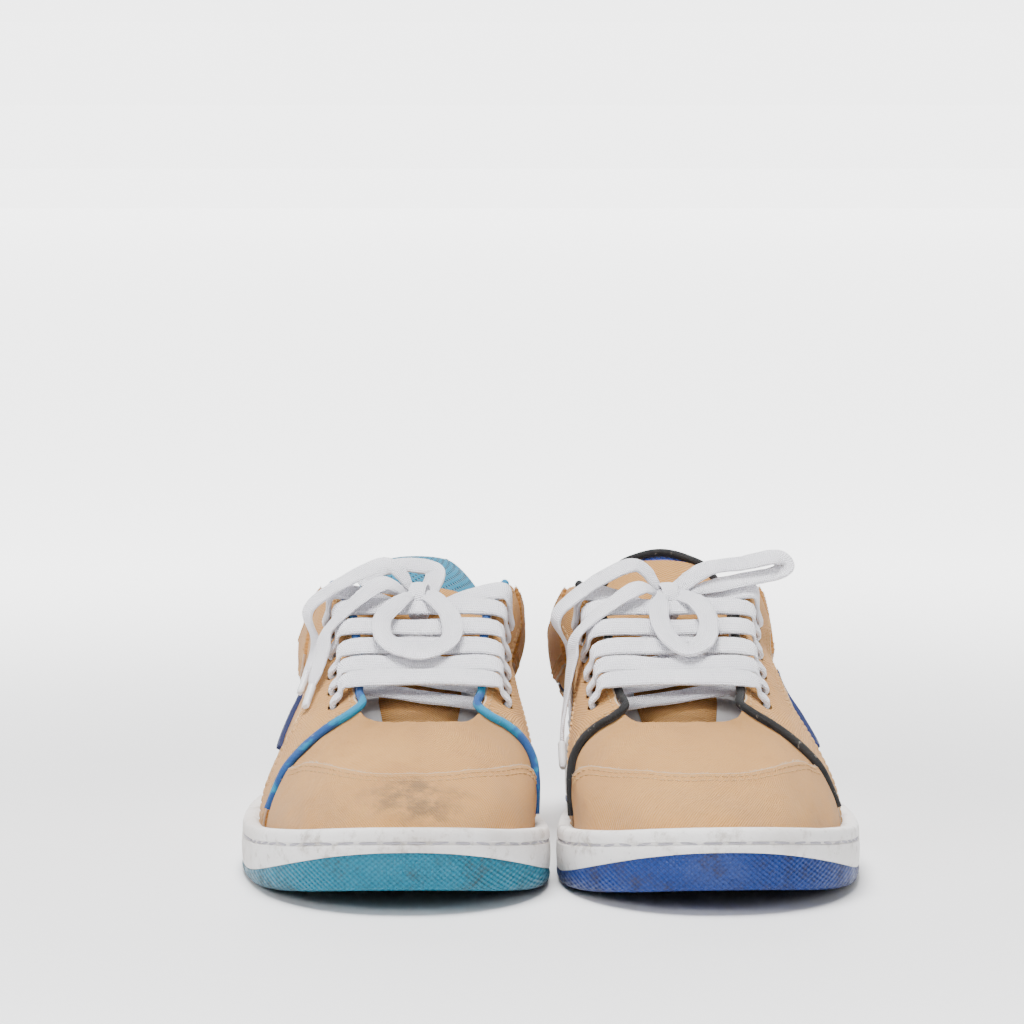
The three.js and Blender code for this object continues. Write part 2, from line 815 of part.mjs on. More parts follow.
// The part of the lace that the shoe holds: from the knot down through the top outer eyelet, straight to
// the lowest one under the eyestay, across and back through the pairs, and up to the knot again.
function laceRun() {
  const [outer, inner] = [-1, 1];
  const last = lacing.eyelets - 1;
  const up = (sign, i) => throughEyelet(sign, i);
  const down = (sign, i) => throughEyelet(sign, i).reverse();
  const knotEnd = (sign) => ({ place: atKnot(sign, 0, -0.4), wide: new THREE.Vector3(0, 0.8, 0.6), ...bunched });
  const toKnot = (sign) => {
    const rim = atThroat(sign, last, overDepth + 2);
    return [rim, halfway(rim, knotEnd(sign), 1)];
  };
  const points = [knotEnd(outer), ...toKnot(outer).reverse(), ...down(outer, last).slice(0, -1)];
  for (let i = last; i >= 0; i -= 1) {
    const u = eyeletPlaces[i][0] - 0.004;
    const row = rowDirection(outer, i);
    const wide = row.cross(onForm(-u, 0.8, 1).sub(onForm(-u, 0.8, 0)));
    points.push({ place: onForm(-u, below(u, lacing.inset + 6.5), underDepth - 0.6), wide, ...bunched });
  }
  points.push(...up(outer, 0).slice(1));
  for (let i = 0; i < last; i += 1) {
    const bar = [atThroat(outer, i, overDepth), atThroat(inner, i, overDepth)];
    points.push(bar[0], halfway(bar[0], bar[1], 0.4), bar[1], ...down(inner, i));
    if (i < last - 1) {
      const under = [atThroat(inner, i, underDepth - 0.6), atThroat(outer, i + 1, underDepth - 0.6)];
      points.push(under[0], halfway(under[0], under[1], 0), under[1], ...up(outer, i + 1));
    }
  }
  points.push(...up(inner, last).slice(1), ...toKnot(inner), knotEnd(inner));
  return strap(points);
}

function laceKnot() {
  const lump = new THREE.SphereGeometry(knotRadius, 10, 7);
  lump.translate(knotCentre.x, knotCentre.y, knotCentre.z);
  return solid(lump);
}

const outFace = new THREE.Vector3(0, -0.6, 0.8); // the way the lacing faces

// A free stretch of lace through the places, with the way its flat side faces at each of them.
function freeLace(places, faces) {
  const path = new THREE.CatmullRomCurve3(places);
  const facing = new THREE.CatmullRomCurve3(faces);
  const steps = 2 * (places.length - 1);
  return strap(
    range(steps).map((t) => {
      const wide = facing.getPoint(t).cross(path.getTangent(t));
      const opening = clamp(6 * Math.min(t, 1.2 - t));
      return { place: path.getPoint(t), wide, width: mix(3, lacing.width, opening), thickness: lacing.thickness };
    }),
  );
}

const fromKnot = (x, y, z) => knotCentre.clone().add(new THREE.Vector3(x, y, z));

function bowLoop([start, end], places) {
  const path = [atKnot(...start), ...places.map((place) => fromKnot(...place)), atKnot(...end)];
  return freeLace(path, path.map(() => outFace));
}

// A loose end of the lace: it leaves the knot, then lies over the upper at [u, h, depth] places.
function looseEnd(start, near, places) {
  const normals = places.map(([u, h]) => onForm(u, h, 1).sub(onForm(u, h, 0)));
  return freeLace(
    [atKnot(...start), fromKnot(...near), ...places.map((place) => onForm(...place))],
    [outFace, outFace, ...normals],
  );
}

// ---------------------------------------------------------------- one shoe

const colours = {
  canvas: 0xdeb88c,
  rubber: 0xe4e0dc,
  lace: 0xeceaf2,
  foam: 0xd9d2c4,
  board: 0xb99b72,
  stiff: 0xcfc6b4,
  white: 0xe9e9ea,
};

function meshOf(name, geometry, color, roughness = 0.85) {
  const mesh = new THREE.Mesh(geometry, new THREE.MeshStandardMaterial({ color, roughness, metalness: 0 }));
  mesh.name = name;
  return mesh;
}

const sides = { inner: 1, outer: -1 };

function shoe(prefix, look) {
  const group = new THREE.Group();
  const add = (name, geometry, color, roughness) => {
    group.add(meshOf(`${prefix}_${name}`, geometry, color, roughness));
  };
  add('outsole', outsole(), look.sole, 0.6);
  add('sidewall', sidewall(), colours.rubber, 0.7);
  add('midsole_wedge', midsoleWedge(), colours.foam);
  add('insole_board', insoleBoard(), colours.board);
  add('footbed', footbed(), look.lining);
  add('lining', lining(), colours.white);
  add('toe_puff', toePuff(), colours.stiff);
  add('heel_counter', heelCounter(), colours.stiff);
  add('vamp', vamp(), colours.canvas);
  add('toe_cap', toeCap(), colours.canvas);
  for (const [name, sign] of Object.entries(sides)) {
    add(`quarter_${name}`, withEyelets(sign, quarter(sign)), colours.canvas);
    add(`eyestay_${name}`, withEyelets(sign, eyestay(sign)), colours.canvas);
    add(`piping_${name}`, piping(sign), look.trim);
    add(`band_${name}`, sideBand(sign), colours.canvas);
  }
  add('collar_pad', collarPad(), look.lining);
  add('collar_overlay', collarOverlay(), colours.canvas);
  add('heel_overlay', heelOverlay(), colours.canvas);
  add('tongue_pad', tonguePad(), look.lining);
  add('tongue_face', tongueFace(look.faceTo), colours.canvas);
  if (look.binding) add('tongue_binding', tongueBinding(), look.trim);
  add('lace_run', laceRun(), colours.lace);
  add('lace_knot', laceKnot(), colours.lace);
  for (const [i, loop] of look.loops.entries()) {
    add(`lace_loop_${i + 1}`, bowLoop(...loop), colours.lace);
  }
  for (const [i, end] of look.ends.entries()) {
    add(`lace_end_${i + 1}`, looseEnd(...end), colours.lace);
  }
  return group;
}

// ---------------------------------------------------------------- the pair

// Right shoe: one loop stands up on the tongue, the other hangs over the laces like a drop.
const rightLook = {
  sole: 0x0a9bc3,
  lining: 0x1590b4,
  trim: 0x1c74b4,
  faceTo: 0.86,
  binding: false,
  loops: [
    [
      [[-0.45, 0.8, 0.45], [0.5, 0.75, 0.4]],
      [[-13, 8, 5], [-20, 12, 7], [-16, 17, 10], [-5, 20, 12], [6, 16, 10]],
    ],
    [
      [[-0.3, -0.7, 0.65], [0.45, -0.6, 0.65]],
      [[-7, -12, 1.8], [-14, -24, -4], [-12, -36, -10.5], [0, -42, -14], [11, -36, -10.5], [12, -24, -4], [7, -12, 1.5]],
    ],
  ],
  ends: [
    [[-0.9, -0.25, 0.5], [-15, -7, 7.5], [[-0.46, 0.94, 13], [-0.435, 0.85, 11.5], [-0.405, 0.76, 9.5], [-0.375, 0.68, 8]]],
    [[-0.6, 0.15, 0.95], [-14, 2, 14], [[-0.515, 0.93, 19], [-0.49, 0.79, 10.5], [-0.465, 0.7, 8.5], [-0.44, 0.62, 7.6]]],
  ],
};

// Left shoe: one loop sticks out to the outer side, the other hangs down, and both ends fall between the shoes.
const leftLook = {
  sole: 0x1e50a5,
  lining: 0x1b46a8,
  trim: 0x29292b,
  faceTo: 0.95,
  binding: true,
  loops: [
    [
      [[-0.8, 0.1, 0.5], [-0.55, 0.35, 0.75]],
      [[-16, 0, 6], [-29, -1, 9], [-42, -2, 12], [-44, -2, 14], [-42, -1, 16], [-29, 1, 14], [-15, 3, 12]],
    ],
    [
      [[0.3, -0.65, 0.65], [-0.6, -0.6, 0.65]],
      [[4, -12, 1.5], [5, -24, -4], [2, -35, -10], [-4, -40, -13], [-11, -35, -10], [-13, -24, -4], [-10, -12, 1.5]],
    ],
  ],
  ends: [
    [
      [0.8, -0.4, 0.6],
      [13, -8, 6],
      [[0.455, 0.94, 13.5], [0.435, 0.84, 11.8], [0.415, 0.7, 9.6], [0.4, 0.54, 8.8], [0.39, 0.38, 8]],
    ],
    [
      [0.6, 0.15, 0.95],
      [14, 2, 14],
      [[0.515, 0.93, 19], [0.495, 0.79, 10.5], [0.48, 0.66, 8.4], [0.47, 0.5, 7.2], [0.465, 0.36, 6.6]],
    ],
  ],
};

// Stands a shoe beside the middle line: sign -1 for the right shoe, 1 for the left one.
function placed(one, sign, turn) {
  const holder = new THREE.Group();
  one.scale.x = -sign;
  holder.add(one);
  holder.rotation.z = THREE.MathUtils.degToRad(turn);
  holder.updateMatrixWorld(true);
  const box = new THREE.Box3().setFromObject(holder.getObjectByName(sign < 0 ? 'teal_sidewall' : 'blue_sidewall'), true);
  const innerSide = sign < 0 ? box.max.x : box.min.x;
  holder.position.set((sign * pair.gap) / 2 - innerSide, -sole.length / 2 - box.min.y, 0);
  return holder;
}

const group = new THREE.Group();
group.add(placed(shoe('teal', rightLook), -1, pair.rightTurn));
group.add(placed(shoe('blue', leftLook), 1, pair.leftTurn));

// The origin is on the ground, below the middle of the pair without its laces.
const extent = new THREE.Box3();
group.updateMatrixWorld(true);
group.traverse((piece) => {
  if (piece.isMesh && !piece.name.includes('lace')) extent.expandByObject(piece, true);
});
const centre = extent.getCenter(new THREE.Vector3());
group.position.set(-centre.x, -centre.y, 0);

export default group;
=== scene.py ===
import math

import bmesh
import bpy
import numpy as np
from mathutils import Euler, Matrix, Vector


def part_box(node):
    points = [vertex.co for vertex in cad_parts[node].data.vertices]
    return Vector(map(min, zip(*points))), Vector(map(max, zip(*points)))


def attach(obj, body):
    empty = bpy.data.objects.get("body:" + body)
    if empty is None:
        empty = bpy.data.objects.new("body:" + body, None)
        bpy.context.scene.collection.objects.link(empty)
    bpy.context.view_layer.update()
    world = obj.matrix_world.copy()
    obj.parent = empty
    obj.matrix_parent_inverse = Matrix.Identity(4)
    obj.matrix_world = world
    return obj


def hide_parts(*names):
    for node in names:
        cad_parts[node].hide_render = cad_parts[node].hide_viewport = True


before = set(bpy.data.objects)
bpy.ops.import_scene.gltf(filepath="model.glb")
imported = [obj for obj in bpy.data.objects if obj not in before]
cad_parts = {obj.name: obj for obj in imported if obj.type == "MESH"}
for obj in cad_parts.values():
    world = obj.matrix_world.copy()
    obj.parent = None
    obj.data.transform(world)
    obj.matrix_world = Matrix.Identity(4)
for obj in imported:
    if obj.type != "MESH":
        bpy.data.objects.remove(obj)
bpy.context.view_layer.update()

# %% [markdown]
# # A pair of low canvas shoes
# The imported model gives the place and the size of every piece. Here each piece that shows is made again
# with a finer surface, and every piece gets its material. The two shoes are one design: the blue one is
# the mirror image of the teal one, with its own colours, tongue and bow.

MM = 0.001

# %% [markdown]
# ## Camera
# The shoes are seen from in front and a little above, through a long lens. The camera is put in first,
# because the cords are checked against its view.

# %% Camera in front of the toes
toe_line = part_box("teal_sidewall")[0].y
view_distance = 1.8
view_drop = math.radians(10)  # from the camera down to the ground under the toes
axis_drop = math.radians(5.47)  # from the camera down to the middle of the view
lens = 179.7
side_step = -14 * MM

camera = bpy.data.objects.new("camera", bpy.data.cameras.new("camera"))
camera.data.lens = lens
camera.data.sensor_width = 36
camera.location = (
    side_step,
    toe_line - view_distance * math.cos(view_drop),
    view_distance * math.sin(view_drop),
)
camera.rotation_euler = Euler((math.pi / 2 - axis_drop, 0, 0))
bpy.context.scene.collection.objects.link(camera)
bpy.context.scene.camera = camera
print("camera at", tuple(round(x, 3) for x in camera.location))

# %% [markdown]
# ## Curves
# A shoe is described with a few smooth curves: how wide the sole is, how high its wall stands, and how
# the foot's form climbs from the sole to the opening. All of them are worked out for whole arrays.


# %% Smooth curves through a few values
def mix(a, b, t):
    """Straight blend from a to b."""
    return a + (b - a) * t


def smooth(t):
    """0 below 0, 1 above 1, and an S-curve between them."""
    t = np.clip(t, 0, 1)
    return t * t * (3 - 2 * t)


def curve(*knots):
    """Curve through (place, value) knots: cubic pieces, each slope running between the two neighbours."""
    x, y = np.array(knots, float).T
    low = np.maximum(np.arange(len(x)) - 1, 0)
    high = np.minimum(np.arange(len(x)) + 1, len(x) - 1)
    slope = (y[high] - y[low]) / (x[high] - x[low])

    def value(place):
        p = np.clip(place, x[0], x[-1])
        i = np.clip(np.searchsorted(x, p, side="right") - 1, 0, len(x) - 2)
        span = x[i + 1] - x[i]
        t = (p - x[i]) / span
        s = 1 - t
        ends = y[i] * s * s * (1 + 2 * t) + y[i + 1] * t * t * (3 - 2 * t)
        return ends + span * t * s * (slope[i] * s - slope[i + 1] * t)

    return value


def around(values, mirror=1):
    """Curve of u through values at equal steps from toe to heel, level (or turned over) at both ends."""
    v = np.array(values, float)
    padded = np.concatenate([[mirror * v[1]], v, [mirror * v[-2]]])
    steps = len(v) - 1

    def value(u):
        x = np.minimum(np.abs(u), 2 - np.abs(u)) * steps
        i = np.clip(np.floor(x).astype(int), 0, steps - 1)
        t = x - i
        a, b, c, d = (padded[i + k] for k in range(4))
        return b + 0.5 * t * (c - a + t * (2 * a - 5 * b + 4 * c - d + t * (3 * (b - c) + d - a)))

    return value


def through(points, t):
    """Places t (0 to 1) on the spline through the points: cubic pieces with slopes of half the chord."""
    p = np.asarray(points, float)
    x = np.clip(t, 0, 1) * (len(p) - 1)
    i = np.clip(np.floor(x).astype(int), 0, len(p) - 2)
    s = (x - i)[..., None]
    a, b = p[np.maximum(i - 1, 0)], p[i]
    c, d = p[i + 1], p[np.minimum(i + 2, len(p) - 1)]
    v, w = (c - a) / 2, (d - b) / 2
    return (2 * b - 2 * c + v + w) * s**3 + (3 * c - 3 * b - 2 * v - w) * s**2 + v * s + b


def unit(v):
    """The vectors with length 1."""
    return v / np.maximum(np.linalg.norm(v, axis=-1, keepdims=True), 1e-12)


def soft_noise(x, y, size, seed):
    """Smooth random field from -1 to 1: random heights on a square lattice, blended between its corners."""
    table = np.random.default_rng(seed).uniform(-1, 1, (64, 64))
    i, j = np.floor(x / size).astype(int), np.floor(y / size).astype(int)
    s, t = smooth(x / size - i), smooth(y / size - j)
    low = mix(table[i % 64, j % 64], table[(i + 1) % 64, j % 64], s)
    high = mix(table[i % 64, (j + 1) % 64], table[(i + 1) % 64, (j + 1) % 64], s)
    return mix(low, high, t)


# %% [markdown]
# ## The sole's outline and the foot's form
# u runs round the shoe, from 0 at the toe to 1 at the heel on the inner side and -1 on the outer side.
# h climbs the upper from 0 at the sole to 1 at the edge of the opening, and depth is the distance outside
# the form. The pattern's own sizes are in millimetres.

# %% Outline of the sole
LENGTH, BALL, WAIST, HEEL = 300, 112, 85, 81
GAP, WALL, FEATHER = 0.3, 4.4, 12.35  # wall: sidewall thickness; feather: where the form meets the sole
STEP = 0.004
axis = curve((0, 5), (60, 3), (111, -1), (171, -4), (240, -1), (300, 0))
half_width = curve(
    (0, 0.44 * BALL),
    (51, 0.475 * BALL),
    (93, BALL / 2),
    (129, 0.47 * BALL),
    (171, WAIST / 2),
    (210, mix(WAIST, HEEL, 0.6) / 2),
    (252, HEEL / 2),
    (300, 0.49 * HEEL),
)


def side(u):
    """1 on the inner side and -1 on the outer side."""
    return np.where(np.abs(u) > 1, -np.sign(u), np.sign(u))


def station(u):
    """Distance from the toe: steps that close up towards both ends like those of a circle."""
    return LENGTH / 2 * (1 - np.cos(math.pi * u))


def outline_point(u):
    """Point of the outline in plan: half widths from the middle line, closed as superellipses."""
    s = station(u)
    toe = np.clip(1 - s / 72, 0, 1)
    heel = np.clip(1 - (LENGTH - s) / 42, 0, 1)
    closing = (1 - toe**2.25) ** (1 / 2.25) * (1 - heel**2.1) ** (1 / 2.1)
    return np.stack([axis(s) + side(u) * half_width(s) * closing, s], -1)


def outwards(u):
    """Unit vector out of the outline: its direction along u, turned by a right angle."""
    d = outline_point(u + STEP) - outline_point(u - STEP)
    return unit(np.stack([d[..., 1], -d[..., 0]], -1))


def outline(u, inset, z):
    """Point of the outline moved inwards by inset, at height z, with the toe and heel at y = -150 and 150."""
    p = outline_point(u) - np.asarray(inset)[..., None] * outwards(u)
    return np.stack(np.broadcast_arrays(p[..., 0], p[..., 1] - LENGTH / 2, z), -1)


def ground(s):
    """Height of the tread: flat, and rising as a square towards the toe."""
    return 9 * np.clip(1 - s / 92, 0, 1) ** 2


def wrap_top(s):
    """Top of the coloured rubber, which climbs the toe."""
    return ground(s) + 4 + 9.5 * np.clip(1 - s / 84, 0, 1) ** 1.3


wall_top = curve((0, 31), (30, 26.05), (84, 20.2), (135, 20.925), (210, 25.675), (300, 29))
wedge = curve((0, 4), (105, 4), (225, 10), (300, 10))


def wedge_top(s):
    """Top of the foam wedge, above the rubber."""
    return ground(s) + 4 + GAP + wedge(s)


print("sole outline:", outline_point(np.array([0.3, -0.3])).round(1).tolist())

# %% The foot's form
THROAT = 53.5  # height of the opening at its front end
throat_shift = 9  # how far the throat sits to the inner side
edge_x = around(
    [0, 10.1, 18.5, 21.5, 21.5, 22.6, 31.2, 36.75, 35.6, 21, 0],
    -1,
)
edge_s = around([86.1, 86.7, 90.9, 104.1, 123.9, 150, 173.1, 204.9, 240, 276, 289.5])
edge_z = around([53.5, 53.5, 54.35, 60.7, 72.2, 87.1, 96, 79.8, 69, 74.4, 81])
middle = curve((0, throat_shift), (180, throat_shift), (285, 0), (300, 0))
low_handle = around([15, 15, 18, 25, 31, 33, 33, 30, 28, 27, 27])
lean = around([0, 0, 0.3, 1, 1.3, 1, 0, 0, 1, 1.5, 1.5])
high_handle = around([50, 46, 36, 26, 23, 22, 24, 20, 16, 15, 16])
edge_angle = around([22, 23, 27, 34, 43, 52, 66, 78, 82, 80, 78])


def edge(u):
    """Edge of the throat and collar."""
    s = edge_s(u)
    return np.stack([middle(s) + side(u) * edge_x(u), s - LENGTH / 2, edge_z(u)], -1)


def form(u, h):
    """Cubic Bezier from the sole to the edge: it starts upwards and arrives at the edge at a set angle."""
    u, h = np.broadcast_arrays(u, h)
    way = outwards(u)
    out = np.concatenate([way, np.zeros_like(way[..., :1])], -1)
    up = np.array([0.0, 0.0, 1.0])
    angle = np.radians(edge_angle(u))
    foot = outline(u, FEATHER, wedge_top(station(u)) + 2 * GAP)
    top = edge(u)
    low = foot + low_handle(u)[..., None] * up + lean(u)[..., None] * out
    high = top + high_handle(u)[..., None] * (np.cos(angle)[..., None] * out - np.sin(angle)[..., None] * up)
    t = h[..., None]
    s = 1 - t
    return s**3 * foot + 3 * s * s * t * low + 3 * s * t * t * high + t**3 * top


def crumple(u, h):
    """How worn cloth stands off the form: soft waves of two sizes, none at the sole."""
    x = 130 * np.cos(math.pi * u) + 60 * h
    y = 130 * np.sin(math.pi * u) + 45 * h
    waves = 0.55 * soft_noise(x, y, 31, 1) + 0.28 * soft_noise(x, y, 12, 2)
    return waves * smooth(h / 0.3)


def on_form(u, h, depth):
    """Point of the upper: depth outside the form along its normal, with the cloth's soft waves."""
    u, h = np.broadcast_arrays(np.asarray(u, float), np.asarray(h, float))
    along = form(u + STEP, h) - form(u - STEP, h)
    across = form(u, np.minimum(1, h + STEP)) - form(u, np.maximum(0, h - STEP))
    normal = unit(np.cross(along, across))
    return form(u, h) + (depth + crumple(u, h))[..., None] * normal


def climb(u, distance, from_top):
    """The h at a distance along the upper from its edge (or from the sole), by adding up short steps."""
    u = np.asarray(u, float)
    h = np.linspace(1, 0, 61) if from_top else np.linspace(0, 1, 61)
    p = form(u[..., None], np.broadcast_to(h, u.shape + (61,)))
    gone = np.linalg.norm(np.diff(p, axis=-2), axis=-1).cumsum(-1)
    far = np.broadcast_to(distance, u.shape)[..., None]
    i = np.clip((gone < far).sum(-1), 0, 59)
    last = np.where(i > 0, np.take_along_axis(gone, np.maximum(i - 1, 0)[..., None], -1)[..., 0], 0)
    piece = np.take_along_axis(gone, i[..., None], -1)[..., 0] - last
    t = np.clip((far[..., 0] - last) / piece, 0, 1)
    return mix(h[i], h[i + 1], t)


def below(u, distance):
    """The h that lies a distance below the edge, along the upper."""
    return climb(u, distance, True)


def above(u, distance):
    """The h that lies a distance above the sole, along the upper."""
    return climb(u, distance, False)


print("throat front, top eyelets:", edge(np.array([0.0, 0.6])).round(1).tolist())

# %% [markdown]
# ## Meshes
# Every new piece is built from grids of points. A grid is closed round one way, joined to its neighbours
# or capped at its ends, so that each piece is one closed skin. The UV map holds real lengths in metres,
# so that a weave keeps its size on every piece.

# %% A skin made of grids
class Skin:
    """Grids of points with their faces and UVs, gathered into one mesh."""

    def __init__(self):
        self.points, self.uvs, self.quads, self.count = [], [], [], 0

    def add(self, points, uv):
        """Adds the points and returns their numbers, in the shape of the grid."""
        shape = points.shape[:-1]
        self.points.append(points.reshape(-1, 3))
        self.uvs.append(np.broadcast_to(uv, shape + (2,)).reshape(-1, 2))
        numbers = self.count + np.arange(int(np.prod(shape))).reshape(shape)
        self.count += numbers.size
        return numbers

    def join(self, first, second):
        """Faces between two rows of points with the same count."""
        corners = [first[:-1], first[1:], second[1:], second[:-1]]
        self.quads.append(np.stack(corners, -1).reshape(-1, 4))

    def grid(self, n):
        """Faces of a whole grid of numbers."""
        corners = [n[..., :-1, :-1], n[..., 1:, :-1], n[..., 1:, 1:], n[..., :-1, 1:]]
        self.quads.append(np.stack(corners, -1).reshape(-1, 4))

    def build(self, shoe, name, material, sharp=50):
        """Puts the skin on its shoe, turns its faces outwards and makes the object."""
        local = np.concatenate(self.points)
        points = shoe.place(local)
        quads = np.concatenate(self.quads)
        triangles = np.concatenate([quads[:, [0, 1, 2]], quads[:, [0, 2, 3]]])
        a, b, c = (points[triangles[:, k]] - points.mean(0) for k in range(3))
        if np.einsum("ij,ij->i", a, np.cross(b, c)).sum() < 0:
            quads = quads[:, ::-1]
        mesh = bpy.data.meshes.new(name)
        mesh.from_pydata(points.tolist(), [], quads.tolist())
        uv = np.concatenate(self.uvs)[quads.reshape(-1)] * MM
        mesh.uv_layers.new(name="UVMap").data.foreach_set("uv", uv.astype(np.float32).reshape(-1))
        merge(mesh)
        mesh.polygons.foreach_set("use_smooth", np.ones(len(mesh.polygons), bool))
        mesh.set_sharp_from_angle(angle=math.radians(sharp))
        mesh.materials.append(material)
        piece = bpy.data.objects.new(name, mesh)
        bpy.context.scene.collection.objects.link(piece)
        return piece


def merge(mesh):
    """Joins points that lie in one place, and drops the faces that this folds away."""
    work = bmesh.new()
    work.from_mesh(mesh)
    bmesh.ops.remove_doubles(work, verts=work.verts, dist=2e-6)
    bmesh.ops.dissolve_degenerate(work, edges=work.edges, dist=1e-7)
    work.to_mesh(mesh)
    work.free()


def lengths(points, way):
    """Distance travelled along one way of a grid, averaged over the other."""
    steps = np.linalg.norm(np.diff(points, axis=way), axis=-1).mean(1 - way)
    return np.concatenate([[0], np.cumsum(steps)])


def travelled(path):
    """Distance travelled along a single line of points."""
    return np.concatenate([[0], np.cumsum(np.linalg.norm(np.diff(path, axis=0), axis=1))])


def uv_of(points):
    """UVs that hold the lengths along both ways of a grid."""
    return np.stack(np.meshgrid(lengths(points, 0), lengths(points, 1), indexing="ij"), -1)


def tube(skin, sections, closed=False):
    """A skin along a path of closed sections (n, m, 3), with fans at both ends unless the path closes."""
    ring = np.concatenate([sections, sections[:, :1]], 1)
    if closed:
        ring = np.concatenate([ring, ring[:1]], 0)
    uv = uv_of(ring)
    numbers = skin.add(ring, uv)
    skin.grid(numbers)
    if closed:
        return
    for row, place, way in ((numbers[0], ring[0], 1), (numbers[-1], ring[-1], -1)):
        centre = np.broadcast_to(place[:-1].mean(0), place.shape)
        middle_row = skin.add(centre, uv[0 if way > 0 else -1])
        skin.join(middle_row[::way], row[::way])


def slab(skin, outer, inner):
    """A thick sheet between two grids of points: both sides, and a strip round the whole rim."""
    uv = uv_of(outer)
    top, bottom = skin.add(outer, uv), skin.add(inner, uv)
    skin.grid(top)
    skin.grid(bottom[:, ::-1])
    skin.join(top[0, ::-1], bottom[0, ::-1])
    skin.join(top[-1], bottom[-1])
    skin.join(top[:, 0], bottom[:, 0])
    skin.join(top[::-1, -1], bottom[::-1, -1])


# %% [markdown]
# ## The two shoes
# A shoe's own frame has +X on its inner side. The model turned each shoe a little about the upright and
# stood the pair side by side, so the place of each one is read from the box of its sidewall.

# %% Placing a shoe
class Shoe:
    """One shoe: its name, mirroring, turn and colours, and where the model put it."""

    def __init__(self, name, mirror, turn, look):
        self.name, self.mirror, self.look = name, mirror, look
        self.cos, self.sin = math.cos(math.radians(turn)), math.sin(math.radians(turn))
        self.shift = np.zeros(3)
        rim = self.place(outline(np.linspace(-1, 1, 400), -0.2, 0))
        low, high = (np.array(c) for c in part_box(f"{name}_sidewall"))
        self.shift[:2] = (low + high)[:2] / 2 - (rim.min(0) + rim.max(0))[:2] / 2

    def place(self, points):
        """Points of the pattern, in millimetres, to the model's frame, in metres."""
        x, y = points[..., 0] * self.mirror, points[..., 1]
        turned = np.stack([x * self.cos - y * self.sin, x * self.sin + y * self.cos, points[..., 2]], -1)
        return turned * MM + self.shift


def stand(piece, shoe, part, nodes):
    """The piece rides on its shoe's part and stands for those nodes of the model."""
    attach(piece, f"{shoe.name}_{part}")
    if nodes:
        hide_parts(*[f"{shoe.name}_{node}" for node in nodes])
    return piece


teal = Shoe("teal", 1, 1, {})
blue = Shoe("blue", -1, 4, {})
SHOES = (teal, blue)
print("shoes stand at", teal.shift.round(4), blue.shift.round(4))

# %% [markdown]
# ## Materials
# Shader maths is written as sums of values. A value wraps a socket, and each sum adds a Math node.

# %% Values and graphs
class Value:
    """A socket that can be added, subtracted and multiplied."""

    def __init__(self, graph, socket):
        self.graph, self.socket = graph, socket

    def __add__(self, other):
        return self.graph.math("ADD", self, other)

    def __sub__(self, other):
        return self.graph.math("SUBTRACT", self, other)

    def __rsub__(self, other):
        return self.graph.math("SUBTRACT", other, self)

    def __mul__(self, other):
        return self.graph.math("MULTIPLY", self, other)

    __radd__, __rmul__ = __add__, __mul__

    def sin(self):
        return self.graph.math("SINE", self)

    def power(self, other):
        return self.graph.math("POWER", self, other)


class Graph:
    """The nodes of one material, with a shader at its end."""

    def __init__(self, name, roughness, sheen=0.0):
        self.material = bpy.data.materials.new(name)
        self.material.use_nodes = True
        self.tree = self.material.node_tree
        self.shader = self.tree.nodes["Principled BSDF"]
        self.shader.inputs["Roughness"].default_value = roughness
        self.shader.inputs["Sheen Weight"].default_value = sheen
        self.shader.inputs["Specular IOR Level"].default_value = 0.35

    def add(self, kind, sockets, out=0, stops=None, **settings):
        """A node of any kind: its settings first, then the values or links of its sockets."""
        node = self.tree.nodes.new(kind)
        for key, value in settings.items():
            setattr(node, key, value)
        if stops:
            ramp = node.color_ramp.elements
            while len(ramp) < len(stops):
                ramp.new(1)
            for element, (place, color) in zip(ramp, stops):
                element.position, element.color = place, (*color, 1)
        for key, value in sockets.items():
            if isinstance(value, Value):
                self.tree.links.new(value.socket, node.inputs[key])
            else:
                node.inputs[key].default_value = value
        return Value(self, node.outputs[out])

    def math(self, operation, *values, **settings):
        """A Math node on values and numbers."""
        return self.add("ShaderNodeMath", dict(enumerate(values)), operation=operation, **settings)

    def blend(self, a, b, factor):
        """From colour a to colour b."""
        a, b = ((*c, 1) if isinstance(c, tuple) else c for c in (a, b))
        sockets = {0: factor, 6: a, 7: b}
        return self.add("ShaderNodeMix", sockets, out=2, data_type="RGBA", clamp_factor=True)

    def place(self, uv=False):
        """Where on the piece: its UVs or its place in the object, in metres."""
        return self.add("ShaderNodeTexCoord", {}, out="UV" if uv else "Object")

    def axis(self, vector, i):
        """One number of a vector."""
        return self.add("ShaderNodeSeparateXYZ", {0: vector}, out=i)

    def noise(self, vector, scale, detail=3.0, rough=0.55):
        """Cloudy values round 0.5, with so many clouds to the metre."""
        sockets = {"Vector": vector, "Scale": scale, "Detail": detail, "Roughness": rough}
        return self.add("ShaderNodeTexNoise", sockets, out=0)

    def band(self, value, low, high):
        """0 below low, 1 above high, and an S-curve between."""
        sockets = {"Value": value, "From Min": low, "From Max": high}
        return self.add("ShaderNodeMapRange", sockets, interpolation_type="SMOOTHSTEP")

    def finish(self, color, bump=None, depth=0.3, roughness=None):
        """Links the colour, bump (depth in millimetres) and roughness to the shader."""
        links, inputs = self.tree.links, self.shader.inputs
        links.new(color.socket, inputs["Base Color"])
        if bump is not None:
            normal = self.add("ShaderNodeBump", {"Height": bump, "Distance": depth * MM})
            links.new(normal.socket, inputs["Normal"])
        if roughness is not None:
            links.new(roughness.socket, inputs["Roughness"])
        return self.material


TURN = 2 * math.pi / MM  # radians to the metre, for waves given by the millimetre


# %% [markdown]
# ## Canvas
# Heavy cotton drill: fine diagonal ribs about 0.8 mm apart over a plain yarn texture, with soft clouds of
# colour, a darker grimy tone low down, and a faint smudge on the toe of the worn shoe.

